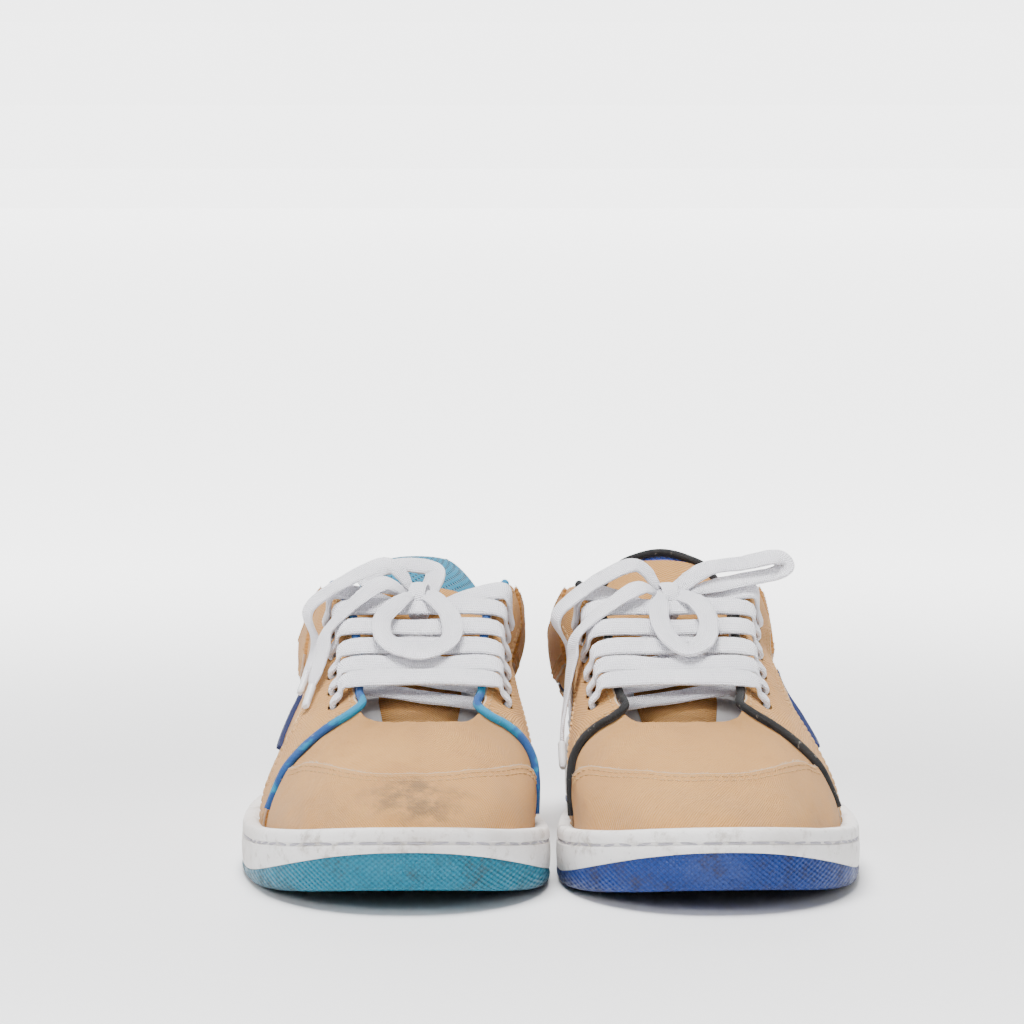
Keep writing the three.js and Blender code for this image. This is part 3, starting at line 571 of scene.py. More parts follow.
# %% Canvas and cloth
def canvas(name, color, smudge=None, rib=0.85):
    """Twill: a sine wave along the diagonal of the UVs, broken by noise, on clouded colour."""
    g = Graph(name, 0.9, sheen=0.15)
    uv, spot = g.place(uv=True), g.place()
    x, y = g.axis(uv, 0), g.axis(uv, 1)
    wander = g.noise(uv, 160) * (0.9 * MM)
    ribs = ((x * 0.8 + y * 0.6 + wander) * (TURN / rib)).sin() * 0.5 + 0.5
    yarn = ((x * 0.6 - y * 0.8) * (TURN / 0.55)).sin() * 0.5 + 0.5
    weave = ribs * 0.75 + yarn * 0.25
    clouds = g.noise(spot, 18, 5)
    specks = g.noise(spot, 900, 2)
    dark = tuple(c * k for c, k in zip(color, (0.62, 0.56, 0.5)))
    pale = tuple(min(1, c * k) for c, k in zip(color, (1.1, 1.12, 1.16)))
    tone = g.blend(dark, color, weave * 0.7 + 0.35)
    tone = g.blend(tone, pale, g.band(clouds, 0.42, 0.72) * 0.45)
    tone = g.blend(tone, dark, g.band(g.noise(spot, 55, 5, 0.65), 0.52, 0.75) * 0.35)
    tone = g.blend(tone, dark, g.band(specks, 0.6, 0.78) * 0.4)
    low = g.band(g.axis(spot, 2), 0.05, 0.018) * g.band(g.noise(spot, 60), 0.3, 0.8)
    tone = g.blend(tone, (0.33, 0.24, 0.15), low * 0.4)
    if smudge:
        (cx, cy), reach = smudge
        far = g.math("SQRT", ((g.axis(spot, 0) - cx) * 0.8).power(2) + (g.axis(spot, 1) - cy).power(2))
        mask = g.band(far + (g.noise(spot, 70, 4) - 0.5) * (reach * 1.1), reach, reach * 0.35)
        mark = mask * g.band(g.noise(spot, 150, 4, 0.7), 0.33, 0.62)
        tone = g.blend(tone, (0.17, 0.10, 0.045), mark * 0.8)
    bump = weave + g.noise(uv, 2500, 2) * 0.5 + g.noise(spot, 75, 4, 0.6) * 4
    return g.finish(tone, bump, 0.34)


def plain_cloth(name, color, thread=0.45, depth=0.12):
    """Plain weave: the product of two sine waves across each other."""
    g = Graph(name, 0.92, sheen=0.2)
    uv, spot = g.place(uv=True), g.place()
    x, y = g.axis(uv, 0), g.axis(uv, 1)
    weave = (x * (TURN / thread)).sin() * (y * (TURN / thread)).sin() * 0.5 + 0.5
    dark = tuple(c * 0.6 for c in color)
    tone = g.blend(dark, color, weave * 0.4 + g.noise(spot, 40, 4) * 0.9)
    return g.finish(tone, weave + g.noise(uv, 1500, 2) * 0.4, depth)


def knit_mesh(name, color):
    """Spacer mesh: small round holes in staggered rows, darker inside."""
    g = Graph(name, 0.75, sheen=0.3)
    uv, spot = g.place(uv=True), g.place()
    x, y = g.axis(uv, 0), g.axis(uv, 1)
    u = (x + y * 0.5) * (TURN / 3.1)
    v = y * (TURN / 2.3)
    cells = u.sin() * v.sin() * 0.5 + 0.5
    hole = g.band(cells, 0.6, 0.85)
    dark = tuple(c * 0.1 for c in color)
    tone = g.blend(color, dark, hole)
    tone = g.blend(tone, tuple(min(1, c * 1.4 + 0.02) for c in color), g.noise(spot, 500, 2) * 0.35)
    return g.finish(tone, 1 - hole + g.noise(uv, 2600, 2) * 0.25, 0.9)


def lace_weave(name):
    """Flat tubular lace: fine chevrons along its length, from two waves that meet in its middle."""
    g = Graph(name, 0.85, sheen=0.25)
    uv, spot = g.place(uv=True), g.place()
    x, y = g.axis(uv, 0), g.axis(uv, 1)
    across = (y * (TURN / 7.5)).sin()
    chevron = ((x * 1.0 + across * (0.5 * MM)) * (TURN / 0.75)).sin() * 0.5 + 0.5
    columns = (y * (TURN / 0.8)).sin() * 0.5 + 0.5
    weave = chevron * 0.6 + columns * 0.4
    tone = g.blend((0.62, 0.61, 0.68), (0.93, 0.92, 0.96), weave * 0.55 + g.noise(spot, 60, 3) * 0.75)
    tone = g.blend(tone, (0.42, 0.40, 0.44), g.band(g.noise(spot, 240, 3), 0.62, 0.8) * 0.3)
    return g.finish(tone, weave + g.noise(uv, 1800, 2) * 0.5, 0.4)


# %% [markdown]
# ## Rubber, thread and the hidden pieces
# The sidewall is chalky rubber with a fine stipple below its stitch line and grime in the groove. The
# coloured rubber under it is dusty, and darker where it meets the ground, where painted shade is mixed with
# grime.

# %% Rubber
def side_rubber(name):
    """Off-white rubber: stipple, yellow clouds, and dirt that gathers in streaks."""
    g = Graph(name, 0.62)
    spot = g.place()
    stipple = g.noise(spot, 1400, 2)
    clouds, dirt = g.noise(spot, 25, 5), g.noise(spot, 130, 6, 0.7)
    tone = g.blend((0.64, 0.60, 0.57), (0.86, 0.84, 0.825), g.band(clouds, 0.25, 0.6))
    tone = g.blend(tone, (0.33, 0.28, 0.23), g.band(dirt, 0.5, 0.72) * 0.7)
    tone = g.blend(tone, (0.28, 0.24, 0.21), g.band(g.noise(spot, 420, 3), 0.66, 0.76) * 0.45)
    return g.finish(tone, stipple, 0.35, g.band(clouds, 0.2, 0.8) * 0.25 + 0.5)


def sole_rubber(name, color, dust):
    """Coloured rubber: rows of small pips on the toe, dust between them, and painted shade mixed with grime
    along the ground.
    """
    g = Graph(name, 0.5)
    spot = g.place()
    x, z = g.axis(spot, 0), g.axis(spot, 2)
    rows = ((x + g.noise(spot, 60) * (1.5 * MM)) * (TURN / 2.2)).sin() * (z * (TURN / 1.9)).sin()
    pips = rows * 0.5 + 0.5
    clouds, dirt = g.noise(spot, 35, 5), g.noise(spot, 110, 6, 0.72)
    dark = tuple(c * 0.5 for c in color)
    pale = tuple(c * 0.9 + 0.03 for c in color)
    tone = g.blend(dark, color, pips * 0.75 + 0.3)
    tone = g.blend(tone, pale, g.band(clouds, 0.48, 0.75) * 0.5)
    tone = g.blend(tone, dust, g.band(dirt, 0.46, 0.68) * (1 - pips * 0.6) * 0.8)
    # Painted shade: the rubber darkens to near black towards the ground, broken up by the dirt pattern.
    low = g.band(z, 0.009, 0.001) * g.band(dirt, 0.25, 0.55)
    tone = g.blend(tone, (0.03, 0.03, 0.033), low * 0.7)
    return g.finish(tone, pips + g.noise(spot, 1800, 2) * 0.4, 0.6, g.band(dirt, 0.3, 0.7) * 0.3 + 0.42)


def fibre(name, color, scale, depth, roughness=0.9):
    """A matt fibrous or foamy material: clouds, specks and a fine bump."""
    g = Graph(name, roughness)
    spot = g.place()
    dark = tuple(c * 0.6 for c in color)
    tone = g.blend(dark, color, g.noise(spot, 30, 4) * 0.6 + g.noise(spot, scale, 3) * 0.8)
    return g.finish(tone, g.noise(spot, scale * 2, 4, 0.7), depth)


def cord_weave(name, color, other):
    """Piping: slanting ribs of a bias-cut tape, and a second colour that wears through."""
    g = Graph(name, 0.7, sheen=0.1)
    uv, spot = g.place(uv=True), g.place()
    x, y = g.axis(uv, 0), g.axis(uv, 1)
    ribs = ((x + y) * (TURN / 0.7)).sin() * 0.5 + 0.5
    tone = g.blend(color, other, g.band(g.noise(spot, 55, 3), 0.5, 0.56))
    tone = g.blend(tone, tuple(c * 0.5 for c in color), ribs * 0.35)
    tone = g.blend(tone, (0.45, 0.4, 0.33), g.band(g.noise(spot, 300, 4), 0.64, 0.76) * 0.5)
    return g.finish(tone, ribs + g.noise(uv, 900, 3), 0.15)


TAN = (0.62, 0.31, 0.088)
TEAL, BLUE, NAVY, BLACK = (0.0, 0.17, 0.27), (0.001, 0.032, 0.21), (0.004, 0.016, 0.09), (0.002, 0.002, 0.003)
materials = {
    "canvas": canvas("tan_canvas", TAN),
    "tongue": canvas("tan_tongue_canvas", tuple(c * 0.95 for c in TAN), rib=1.0),
    "lace": lace_weave("white_lace"),
    "cotton": plain_cloth("white_cotton_lining", (0.80, 0.79, 0.80)),
    "sidewall": side_rubber("offwhite_sidewall"),
    "thread": fibre("tan_thread", (0.60, 0.36, 0.16), 2500, 0.1),
    "yarn": fibre("pale_loose_yarn", (0.62, 0.47, 0.33), 1500, 0.2),
    "white_thread": fibre("grey_sole_thread", (0.52, 0.50, 0.56), 2500, 0.1),
    "foam": fibre("cream_foam", (0.69, 0.65, 0.56), 700, 0.3),
    "board": fibre("fibre_board", (0.48, 0.33, 0.17), 300, 0.2),
    "stiffener": fibre("stiff_cloth", (0.62, 0.57, 0.46), 900, 0.15),
}
teal.look = {
    "cap": canvas("tan_canvas_smudged", TAN, smudge=((-0.049, -0.123), 0.018)),
    "sole": sole_rubber("teal_rubber", TEAL, (0.05, 0.06, 0.055)),
    "mesh": knit_mesh("teal_mesh", (0.0, 0.17, 0.29)),
    "trim": cord_weave("teal_piping", (0.008, 0.075, 0.27), (0.0, 0.25, 0.45)),
    "slit": plain_cloth("navy_edge", NAVY),
}
blue.look = {
    "cap": canvas("tan_canvas_blue_toe", TAN),
    "sole": sole_rubber("blue_rubber", BLUE, (0.035, 0.03, 0.035)),
    "mesh": knit_mesh("blue_mesh", (0.010, 0.055, 0.42)),
    "trim": cord_weave("black_piping", BLACK, (0.010, 0.009, 0.009)),
    "slit": plain_cloth("deep_blue_edge", (0.005, 0.018, 0.10)),
}
print(len(bpy.data.materials), "materials")

# %% [markdown]
# ## Sole unit
# A cup sole: a coloured rubber tread that climbs the toe, and a sidewall stitched on through a groove.
# The tread's underside has real grooves, cut as a zigzag into the grid of its points.

# %% Sole pieces
AROUND = np.linspace(-1, 1, 481)


def rim_rows(u, rows):
    """A section of the sole at each u: (inset, height) corners, from the bottom up."""
    return np.stack([outline(u, np.full_like(u, inset), z) for inset, z in rows], 1)


def plate_rows(u, rows, bottom, top, across=30):
    """A filled plate: from the middle line under it, round its rim and back over it."""
    s = mix(30, 276, (1 - np.cos(math.pi * u)) / 2)
    spine = np.stack([axis(s), s - LENGTH / 2, np.zeros_like(s)], -1)
    rim = rim_rows(u, rows)
    low, high = spine.copy(), spine.copy()
    low[:, 2], high[:, 2] = bottom(s), top(s)
    t = np.linspace(0, 1, across)[None, :-1, None]
    under = mix(low[:, None], rim[:, :1], t)
    over = mix(high[:, None], rim[:, -1:], t)[:, ::-1]
    return np.concatenate([under, rim, over], 1)


def tread_groove(x, y):
    """Depth of the tread's grooves: a zigzag across the sole, repeated along it."""
    zigzag = y + 5 * np.abs(np.mod(x / 9, 2) - 1)
    return 1.1 * (1 - smooth(np.abs(np.mod(zigzag, 8) - 4) / 1.6))


def outsole(shoe):
    u, s = AROUND, station(AROUND)
    lip = wrap_top(s)
    rows = [
        (2.5, ground(s)),
        (1.3, ground(s) + 0.4),
        (0.6, ground(s) + 1.2),
        (0.15, mix(ground(s) + 1.2, lip, 0.3)),
        (0, mix(ground(s) + 1.2, lip, 0.6)),
        (0.1, mix(ground(s) + 1.2, lip, 0.85)),
        (0.4, lip),
        (WALL - 1, lip),
        (WALL, ground(s) + 4),
    ]
    points = plate_rows(u, rows, ground, lambda s: ground(s) + 4)
    under = points[:, 1:28]
    under[..., 2] += tread_groove(under[..., 0], under[..., 1])
    skin = Skin()
    skin.grid(skin.add(points, uv_of(points)))
    return skin.build(shoe, f"{shoe.name}_tread", shoe.look["sole"])


GROOVE_DROP = 5


def sidewall(shoe):
    u, s = AROUND, station(AROUND)
    low, top = wrap_top(s) + 0.1, wall_top(s)
    groove = top - GROOVE_DROP
    rows = [
        (0.5, low),
        (0.15, low + 0.5),
        (-0.1, mix(low, groove, 0.3)),
        (-0.2, mix(low, groove, 0.6)),
        (0, groove - 0.9),
        (0.35, groove - 0.65),
        (0.9, groove - 0.4),
        (0.9, groove + 0.4),
        (0.4, groove + 0.65),
        (0.1, groove + 0.9),
        (0.15, mix(groove, top, 0.55)),
        (0.5, top - 1),
        (0.9, top - 0.35),
        (1.5, top),
        (WALL + 0.3, top),
        (WALL + 1.2, top - 0.6),
        (WALL + 5, top - 3.2),
        (WALL + 1, top - 6),
        (WALL, low),
    ]
    skin = Skin()
    tube(skin, rim_rows(u[:-1], [(i, z[:-1]) for i, z in rows]), closed=True)
    return skin.build(shoe, f"{shoe.name}_cupsole_wall", materials["sidewall"], 40)


def stitches(skin, line, out, pitch, length, radius, seed=7):
    """A row of stitches: one spindle in each pitch of the line, turned and sized a little by chance."""
    gone = travelled(line)
    n = max(1, int(gone[-1] // pitch))
    where = (np.arange(n) + 0.5) * gone[-1] / n
    at = np.stack([np.interp(where, gone, line[:, k]) for k in range(3)], -1)
    ahead = np.stack([np.interp(where + 0.4, gone, line[:, k]) for k in range(3)], -1)
    back = np.stack([np.interp(where - 0.4, gone, line[:, k]) for k in range(3)], -1)
    up = unit(np.stack([np.interp(where, gone, out[:, k]) for k in range(3)], -1))
    forward = unit(ahead - back)
    sidewards = unit(np.cross(forward, up))
    chance = np.random.default_rng(seed)
    forward = unit(forward + sidewards * chance.normal(0, 0.09, (n, 1)))
    size = chance.uniform(0.85, 1.1, (n, 1, 1, 1))
    t = np.array([-1, -0.8, 0, 0.8, 1])[None, :, None, None]
    r = np.array([0, 0.75, 1, 0.75, 0])[None, :, None, None] * radius
    turn = np.linspace(0, 2 * math.pi, 7)[None, None, :, None]
    core = at[:, None, None] + forward[:, None, None] * t * size * length / 2
    points = core + r * (np.cos(turn) * sidewards[:, None, None] + np.sin(turn) * up[:, None, None])
    skin.grid(skin.add(points, np.zeros(2)))


def sole_stitching(shoe):
    u = np.linspace(-1, 1, 900)
    z = wall_top(station(u)) - GROOVE_DROP
    line = outline(u, np.full_like(u, 0.75), z)
    out = np.concatenate([outwards(u), np.zeros((len(u), 1))], -1)
    skin = Skin()
    stitches(skin, line, out, 8.5, 7, 0.42)
    return skin.build(shoe, f"{shoe.name}_sole_stitching", materials["white_thread"])


def board_top(s):
    """Top of the insole board."""
    return wedge_top(s) + GAP + 1.5


def footbed(shoe):
    u, s = AROUND[::2], station(AROUND[::2])
    inset, low = FEATHER + 4.5, board_top(s) + 0.95
    rows = [
        (inset, low),
        (inset - 0.1, low + 1.4),
        (inset + 0.4, low + 2.5),
        (inset + 2.2, low + 3.0),
        (inset + 6, board_top(s) + 3.2),
    ]
    points = plate_rows(u, rows, lambda s: board_top(s) + 0.95, lambda s: board_top(s) + 3.2)
    skin = Skin()
    skin.grid(skin.add(points, uv_of(points)))
    return skin.build(shoe, f"{shoe.name}_sockliner", shoe.look["mesh"])


for shoe in SHOES:
    stand(outsole(shoe), shoe, "shoe", ["outsole"])
    stand(sidewall(shoe), shoe, "shoe", ["sidewall"])
    stand(sole_stitching(shoe), shoe, "shoe", [])
    stand(footbed(shoe), shoe, "footbed", ["footbed"])

# %% [markdown]
# ## Canvas upper
# The upper is cut from flat canvas: vamp and quarters below, then toe cap, eyestays, side bands, collar and
# heel overlays on top, with raw edges that have frayed. Each panel lies between two lines of the form.

# %% Panels with raw edges
CANVAS, OVERLAY = (3.6, 1.0), (4.62, 1.45)  # depth of the inner face, thickness
hair_lines, stitch_lines = {}, {}


def ragged(x, seed):
    """How far a raw edge wanders, in millimetres: waves of 9 mm and nicks of 1.5 mm."""
    return 0.35 * soft_noise(x, 0 * x, 9, seed) + 0.28 * soft_noise(x, 0 * x + 5, 1.5, seed + 1)


def panel_uh(first, second, a, b):
    """u and h of a panel at shares a along it and b across it."""
    (u0, h0), (u1, h1) = first(a), second(a)
    return mix(u0, u1, b), mix(h0, h1, b)


def panel(shoe, name, material, first, second, layer, along=90, across=28, raw=(True, True), seed=11):
    """A sheet of canvas: a grid between the lines, thinner towards its edges, whose edges wander."""
    a = np.linspace(0, 1, along)[:, None]
    b = ((1 - np.cos(math.pi * np.linspace(0, 1, across))) / 2)[None]
    depth, thick = layer
    coarse = on_form(*panel_uh(first, second, a, np.linspace(0, 1, 9)[None]), depth)
    width = np.maximum(np.linalg.norm(np.diff(coarse, axis=1), axis=-1).sum(1), 4)[:, None]
    run = lengths(coarse, 0)[:, None]
    b = b + raw[0] * ragged(run, seed) / width * (1 - b) ** 6 - raw[1] * ragged(run, seed + 2) / width * b**6
    b = np.clip(b, -0.02, 1.02)
    u, h = panel_uh(first, second, a, b)
    h = np.clip(h, 0, 1)
    near = np.minimum(np.minimum(b * width, (1 - b) * width), np.minimum(run, run[-1] - run))
    outer = on_form(u, h, depth + thick * mix(0.8, 1, smooth(near / 1.2)))
    inner = on_form(u, h, depth)
    skin = Skin()
    slab(skin, outer, inner)
    piece = skin.build(shoe, f"{shoe.name}_{name}", material)
    for k, wanted in ((0, raw[0]), (-1, raw[1])):
        if wanted:
            line = outer[:, k]
            inward = outer[:, 1] if k == 0 else outer[:, -2]
            away, off = unit(line - inward), unit(line - inner[:, k])
            hair_lines.setdefault(shoe.name, []).append((line, away, off))
    return piece, width[:, 0]


def rows_beside(shoe, first, second, width, layer, edges, spacing=(2.2, 4.6), share=(0.0, 1.0)):
    """Stitch rows at set distances from a panel's edges (0 first, 1 second)."""
    a = np.linspace(share[0], share[1], 240)
    wide = np.interp(a, np.linspace(0, 1, len(width)), width)
    depth = layer[0] + layer[1] + 0.05
    for edge_side in edges:
        for gap in spacing:
            b = gap / wide if edge_side == 0 else 1 - gap / wide
            u, h = panel_uh(first, second, a, b)
            h = np.clip(h, 0, 0.995)
            line = on_form(u, h, depth)
            stitch_lines.setdefault(shoe.name, []).append((line, unit(line - on_form(u, h, depth - 1))))


def seam(*points):
    """Line of the form through a few [u, h] points."""
    return lambda a: tuple(np.moveaxis(through(points, np.asarray(a, float)), -1, 0))


def on_side(sign, line):
    """The same line on the inner (1) or outer (-1) side."""
    return lambda a: (sign * line(a)[0], line(a)[1])


throat_corner, throat_end = 0.247, 0.585
eyestay_front = seam((throat_corner, 1), (0.275, 0.78), (0.318, 0.45), (0.365, 0))
vamp_side = seam((0.268, 1), (0.293, 0.78), (0.338, 0.45), (0.39, 0))
cap_seam = around([0.66, 0.665, 0.66, 0.47, 0.3, 0, 0, 0, 0, 0, 0])
CAP_LOW, CAP_HIGH = 0.341, 0.291
TURN_SHARE = 0.55  # share of the eyestay's inner edge that lies along the throat


def cap_top(a):
    u = mix(-CAP_HIGH, CAP_HIGH, a)
    return u, cap_seam(u)


def eyestay_inner(a):
    """Down the throat, round its corner and down the front."""
    a = np.asarray(a, float)
    u, h = eyestay_front(np.clip((a - TURN_SHARE) / (1 - TURN_SHARE), 0, 1))
    straight = a < TURN_SHARE
    return np.where(straight, mix(throat_end, throat_corner, a / TURN_SHARE), u), np.where(straight, 1.0, h)


def at_below(u, distance):
    return u, float(below(np.array(u), distance))


eyestay_outer = seam(
    at_below(0.6, 16), at_below(0.53, 21), at_below(0.435, 23), at_below(0.397, 29), (0.385, 0.32), (0.388, 0)
)
collar_front = 0.615


def collar_low(a):
    u = mix(collar_front, 2 - collar_front, a)
    drop = mix(28, 20, np.clip((np.minimum(u, 2 - u) - collar_front) / 0.12, 0, 1))
    return u, below(u, drop)


def band_line(offset):
    """One long edge of the slanted side band."""
    def line(a):
        u = mix(0.47, 0.74, np.asarray(a, float))
        return u + 0.03 * offset, above(u, mix(21, 34, a) + 15 * offset)
    return line


def heel_high(a):
    u = mix(0.84, 1.16, np.asarray(a, float))
    return u, below(u, 31)


SLITS = [((0.4, 0.43), (0.54, 0.6)), ((0.452, 0.36), (0.53, 0.45))]


def widened(low_end, high_end, back=0.006, down=0.026):
    """The other edge of a slit: the same ends, a little further back and down."""
    return (low_end[0] + back, low_end[1] - down), (high_end[0] + back, high_end[1] - down)


EYELETS = [at_below(mix(0.318, 0.535, i / 5), 9.5) for i in range(6)]


def punch(shoe, piece, sign):
    """Cuts the eyelet holes: six short rods are taken away from the panel."""
    rods = Skin()
    for u, h in EYELETS:
        ends = np.array([on_form(sign * u, h, d) for d in (2, 8)])
        way = unit(ends[1] - ends[0])
        flat = unit(np.cross(way, (0.0, 0, 1)))
        t = np.linspace(0, 2 * math.pi, 20, endpoint=False)[None, :, None]
        circle = 2.5 * (np.cos(t) * flat + np.sin(t) * np.cross(way, flat))
        tube(rods, ends[:, None] + circle)
    cutter = rods.build(shoe, "cutter", materials["canvas"])
    cut = piece.modifiers.new("holes", "BOOLEAN")
    cut.object, cut.operation, cut.solver = cutter, "DIFFERENCE", "EXACT"
    made = bpy.data.meshes.new_from_object(piece.evaluated_get(bpy.context.evaluated_depsgraph_get()))
    piece.modifiers.clear()
    piece.data = made
    bpy.data.objects.remove(cutter)
    return piece


FOLDED, HIGH_RAW = (False, False), (False, True)  # which long edges of a panel are raw: none, the second
BORDER, SLIT = (4.6, 0.9), (4.9, 1.7)  # outer and inner depth of the dark inlays


def upper(shoe):
    """All canvas panels of one shoe, with the nodes that each stands for."""
    made = []
    tan = materials["canvas"]
    dark = shoe.look["slit"]
    lines = on_side(-1, vamp_side), vamp_side
    piece, _ = panel(shoe, "vamp_canvas", tan, *lines, CANVAS, 50, 110, FOLDED)
    made.append((piece, "vamp"))
    low = lambda a: (mix(-CAP_LOW, CAP_LOW, a), 0 * a)
    piece, width = panel(shoe, "toe_cap_canvas", shoe.look["cap"], low, cap_top, OVERLAY, 150, 34, HIGH_RAW)
    rows_beside(shoe, low, cap_top, width, OVERLAY, [1], share=(0.03, 0.97))
    made.append((piece, "toe_cap"))
    for word, sign in (("inner", 1), ("outer", -1)):
        front = lambda a: (vamp_side(a)[0] + 0.004, vamp_side(a)[1])
        rear = lambda a: (0 * a + 0.9985, front(a)[1])
        lines = on_side(sign, front), on_side(sign, rear)
        piece, _ = panel(shoe, f"quarter_{word}_canvas", tan, *lines, CANVAS, 44, 100, FOLDED)
        made.append((punch(shoe, piece, sign), f"quarter_{word}"))
        lines = on_side(sign, eyestay_inner), on_side(sign, eyestay_outer)
        piece, width = panel(shoe, f"eyestay_{word}_canvas", tan, *lines, OVERLAY, 150, 34, seed=23 + sign)
        rows_beside(shoe, *lines, width, OVERLAY, [1])
        rows_beside(shoe, *lines, width, OVERLAY, [0], (2.4,), (0.0, 0.97))
        made.append((punch(shoe, piece, sign), f"eyestay_{word}"))
        lines = on_side(sign, band_line(-0.1)), on_side(sign, band_line(1.1))
        border, _ = panel(shoe, f"band_border_{word}", dark, *lines, BORDER, 70, 20, FOLDED)
        stand(border, shoe, "shoe", [])
        lines = on_side(sign, band_line(0)), on_side(sign, band_line(1))
        piece, width = panel(shoe, f"side_band_{word}", tan, *lines, OVERLAY, 70, 20, seed=37 + sign)
        rows_beside(shoe, *lines, width, OVERLAY, [0, 1], (2.0,))
        made.append((piece, f"band_{word}"))
        for k, (low_end, high_end) in enumerate(SLITS):
            lines = on_side(sign, seam(low_end, high_end)), on_side(sign, seam(*widened(low_end, high_end)))
            slit, _ = panel(shoe, f"slit_{word}_{k}", dark, *lines, SLIT, 40, 8, FOLDED)
            stand(slit, shoe, "shoe", [])
    high = lambda a: (mix(collar_front, 2 - collar_front, a), 0 * a + 1.0)
    piece, width = panel(shoe, "collar_canvas", tan, high, collar_low, OVERLAY, 200, 22, seed=51)
    rows_beside(shoe, high, collar_low, width, OVERLAY, [1])
    rows_beside(shoe, high, collar_low, width, OVERLAY, [0], (2.4,))
    made.append((piece, "collar_overlay"))
    low = lambda a: (mix(0.8, 1.2, a), 0 * a)
    piece, width = panel(shoe, "heel_canvas", tan, low, heel_high, OVERLAY, 90, 26, HIGH_RAW, seed=61)
    rows_beside(shoe, low, heel_high, width, OVERLAY, [1])
    made.append((piece, "heel_overlay"))
    return made


for shoe in SHOES:
    for piece, node in upper(shoe):
        stand(piece, shoe, "shoe", [node])
    counts = len(stitch_lines[shoe.name]), len(hair_lines[shoe.name])
    print(shoe.name, "upper, stitch rows and raw edges:", counts)

# %% [markdown]
# ## Thread
# Two rows of sewing run beside each edge. Cut canvas frays, so fine threads stand out of every raw edge.

# %% Sewing and frayed threads
def frames(path):
    """Two unit vectors across a path: one level or outwards, and one square to it."""
    forward = unit(np.gradient(path, axis=0))
    up = np.broadcast_to((0.0, 0, 1), forward.shape)
    across = unit(np.cross(forward, up) + 1e-6)
    return across, np.cross(across, forward)


def rope(skin, path, wide, high, sides=12):
    """A tube along a path with an elliptical section."""
    a, b = frames(path)
    t = np.linspace(0, 2 * math.pi, sides, endpoint=False)[None, :, None]
    tube(skin, path[:, None] + wide * np.cos(t) * a[:, None] + high * np.sin(t) * b[:, None])


def sewing(shoe):
    skin = Skin()
    for i, (line, out) in enumerate(stitch_lines[shoe.name]):
        stitches(skin, line, out, 2.9, 2.4, 0.4, seed=100 + i)
    return skin.build(shoe, f"{shoe.name}_sewing", materials["thread"])


def edge_yarns(shoe):
    """The loosened outermost yarn of every raw edge: a thin rope whose thickness wanders."""
    skin = Skin()
    for i, (edge_line, out, up) in enumerate(hair_lines[shoe.name]):
        run = travelled(edge_line)
        wave = soft_noise(run, 0 * run, 3, 500 + i)[:, None]
        path = edge_line - 0.15 * out - 0.3 * up + 0.25 * wave * out
        n = max(24, int(run[-1] / 1.2))
        rope(skin, through(path, np.linspace(0, 1, n)), 0.5, 0.42, 6)
    return skin.build(shoe, f"{shoe.name}_edge_yarns", materials["yarn"])


def frayed(shoe, spacing=0.8):
    """Threads along the raw edges: each is a bent, tapering spike that starts inside the edge."""
    skin = Skin()
    for i, (edge_line, out, up) in enumerate(hair_lines[shoe.name]):
        gone = travelled(edge_line)
        chance = np.random.default_rng(300 + i)
        n = int(gone[-1] / spacing)
        where = np.sort(chance.uniform(0, gone[-1], n))
        pick = lambda field: np.stack([np.interp(where, gone, field[:, k]) for k in range(3)], -1)
        root, away, raised = pick(edge_line), unit(pick(out)), unit(pick(up))
        along = np.cross(away, raised)
        long = chance.uniform(0.5, 1.7, (n, 1))
        lean_by = chance.normal(0, 0.8, (n, 1))
        lift = chance.uniform(-0.9, 0.35, (n, 1))
        tip = root + long * unit(away + along * lean_by + raised * lift * 0.6)
        bend = root + 0.55 * long * unit(away + raised * 0.3)
        start = root - 0.5 * away - 0.45 * raised
        t = np.array([0, 0.5, 1])[None, :, None]
        core = (1 - t) ** 2 * start[:, None] + 2 * t * (1 - t) * bend[:, None] + t**2 * tip[:, None]
        turn = np.linspace(0, 2 * math.pi, 4)[None, None, :, None]
        r = np.array([0.0, 0.11, 0.0])[None, :, None, None]
        ring = np.cos(turn) * along[:, None, None] + np.sin(turn) * raised[:, None, None]
        skin.grid(skin.add(core[:, :, None] + r * ring, np.zeros(2)))
    return skin.build(shoe, f"{shoe.name}_frayed_threads", materials["yarn"])


for shoe in SHOES:
    for piece in (sewing(shoe), edge_yarns(shoe), frayed(shoe)):
        stand(piece, shoe, "shoe", [])
        print(piece.name, len(piece.data.polygons), "faces")

# %% [markdown]
# ## Piping, lining and collar
# A round piping edges the throat, white cotton lines the foot, and the collar is foam under spacer mesh
# that bulges inwards round the ankle.

# %% Piping, lining and collar padding
def piping(shoe, sign):
    radius, clear = 1.6, 1.75
    a = np.linspace(0.01, 0.975, 90)
    u = sign * mix(throat_end, throat_corner, np.minimum(a / TURN_SHARE, 1))
    rim = on_form(u, 1.0, 5.2)
    rim = rim + clear * unit(rim - on_form(u, 0.96, 5.2))
    fu, fh = eyestay_front(np.clip((a - TURN_SHARE) / (1 - TURN_SHARE), 0, 1))
    front = on_form(sign * (fu - 0.013), np.minimum(1, fh), 4.4 + radius)
    path = np.where((a < TURN_SHARE)[:, None], rim, front)
    path = through(path[::6], np.linspace(0, 1, 130))
    skin = Skin()
    rope(skin, path, radius, radius)
    return skin.build(shoe, f"{shoe.name}_piping_{'inner' if sign > 0 else 'outer'}_cord", shoe.look["trim"])


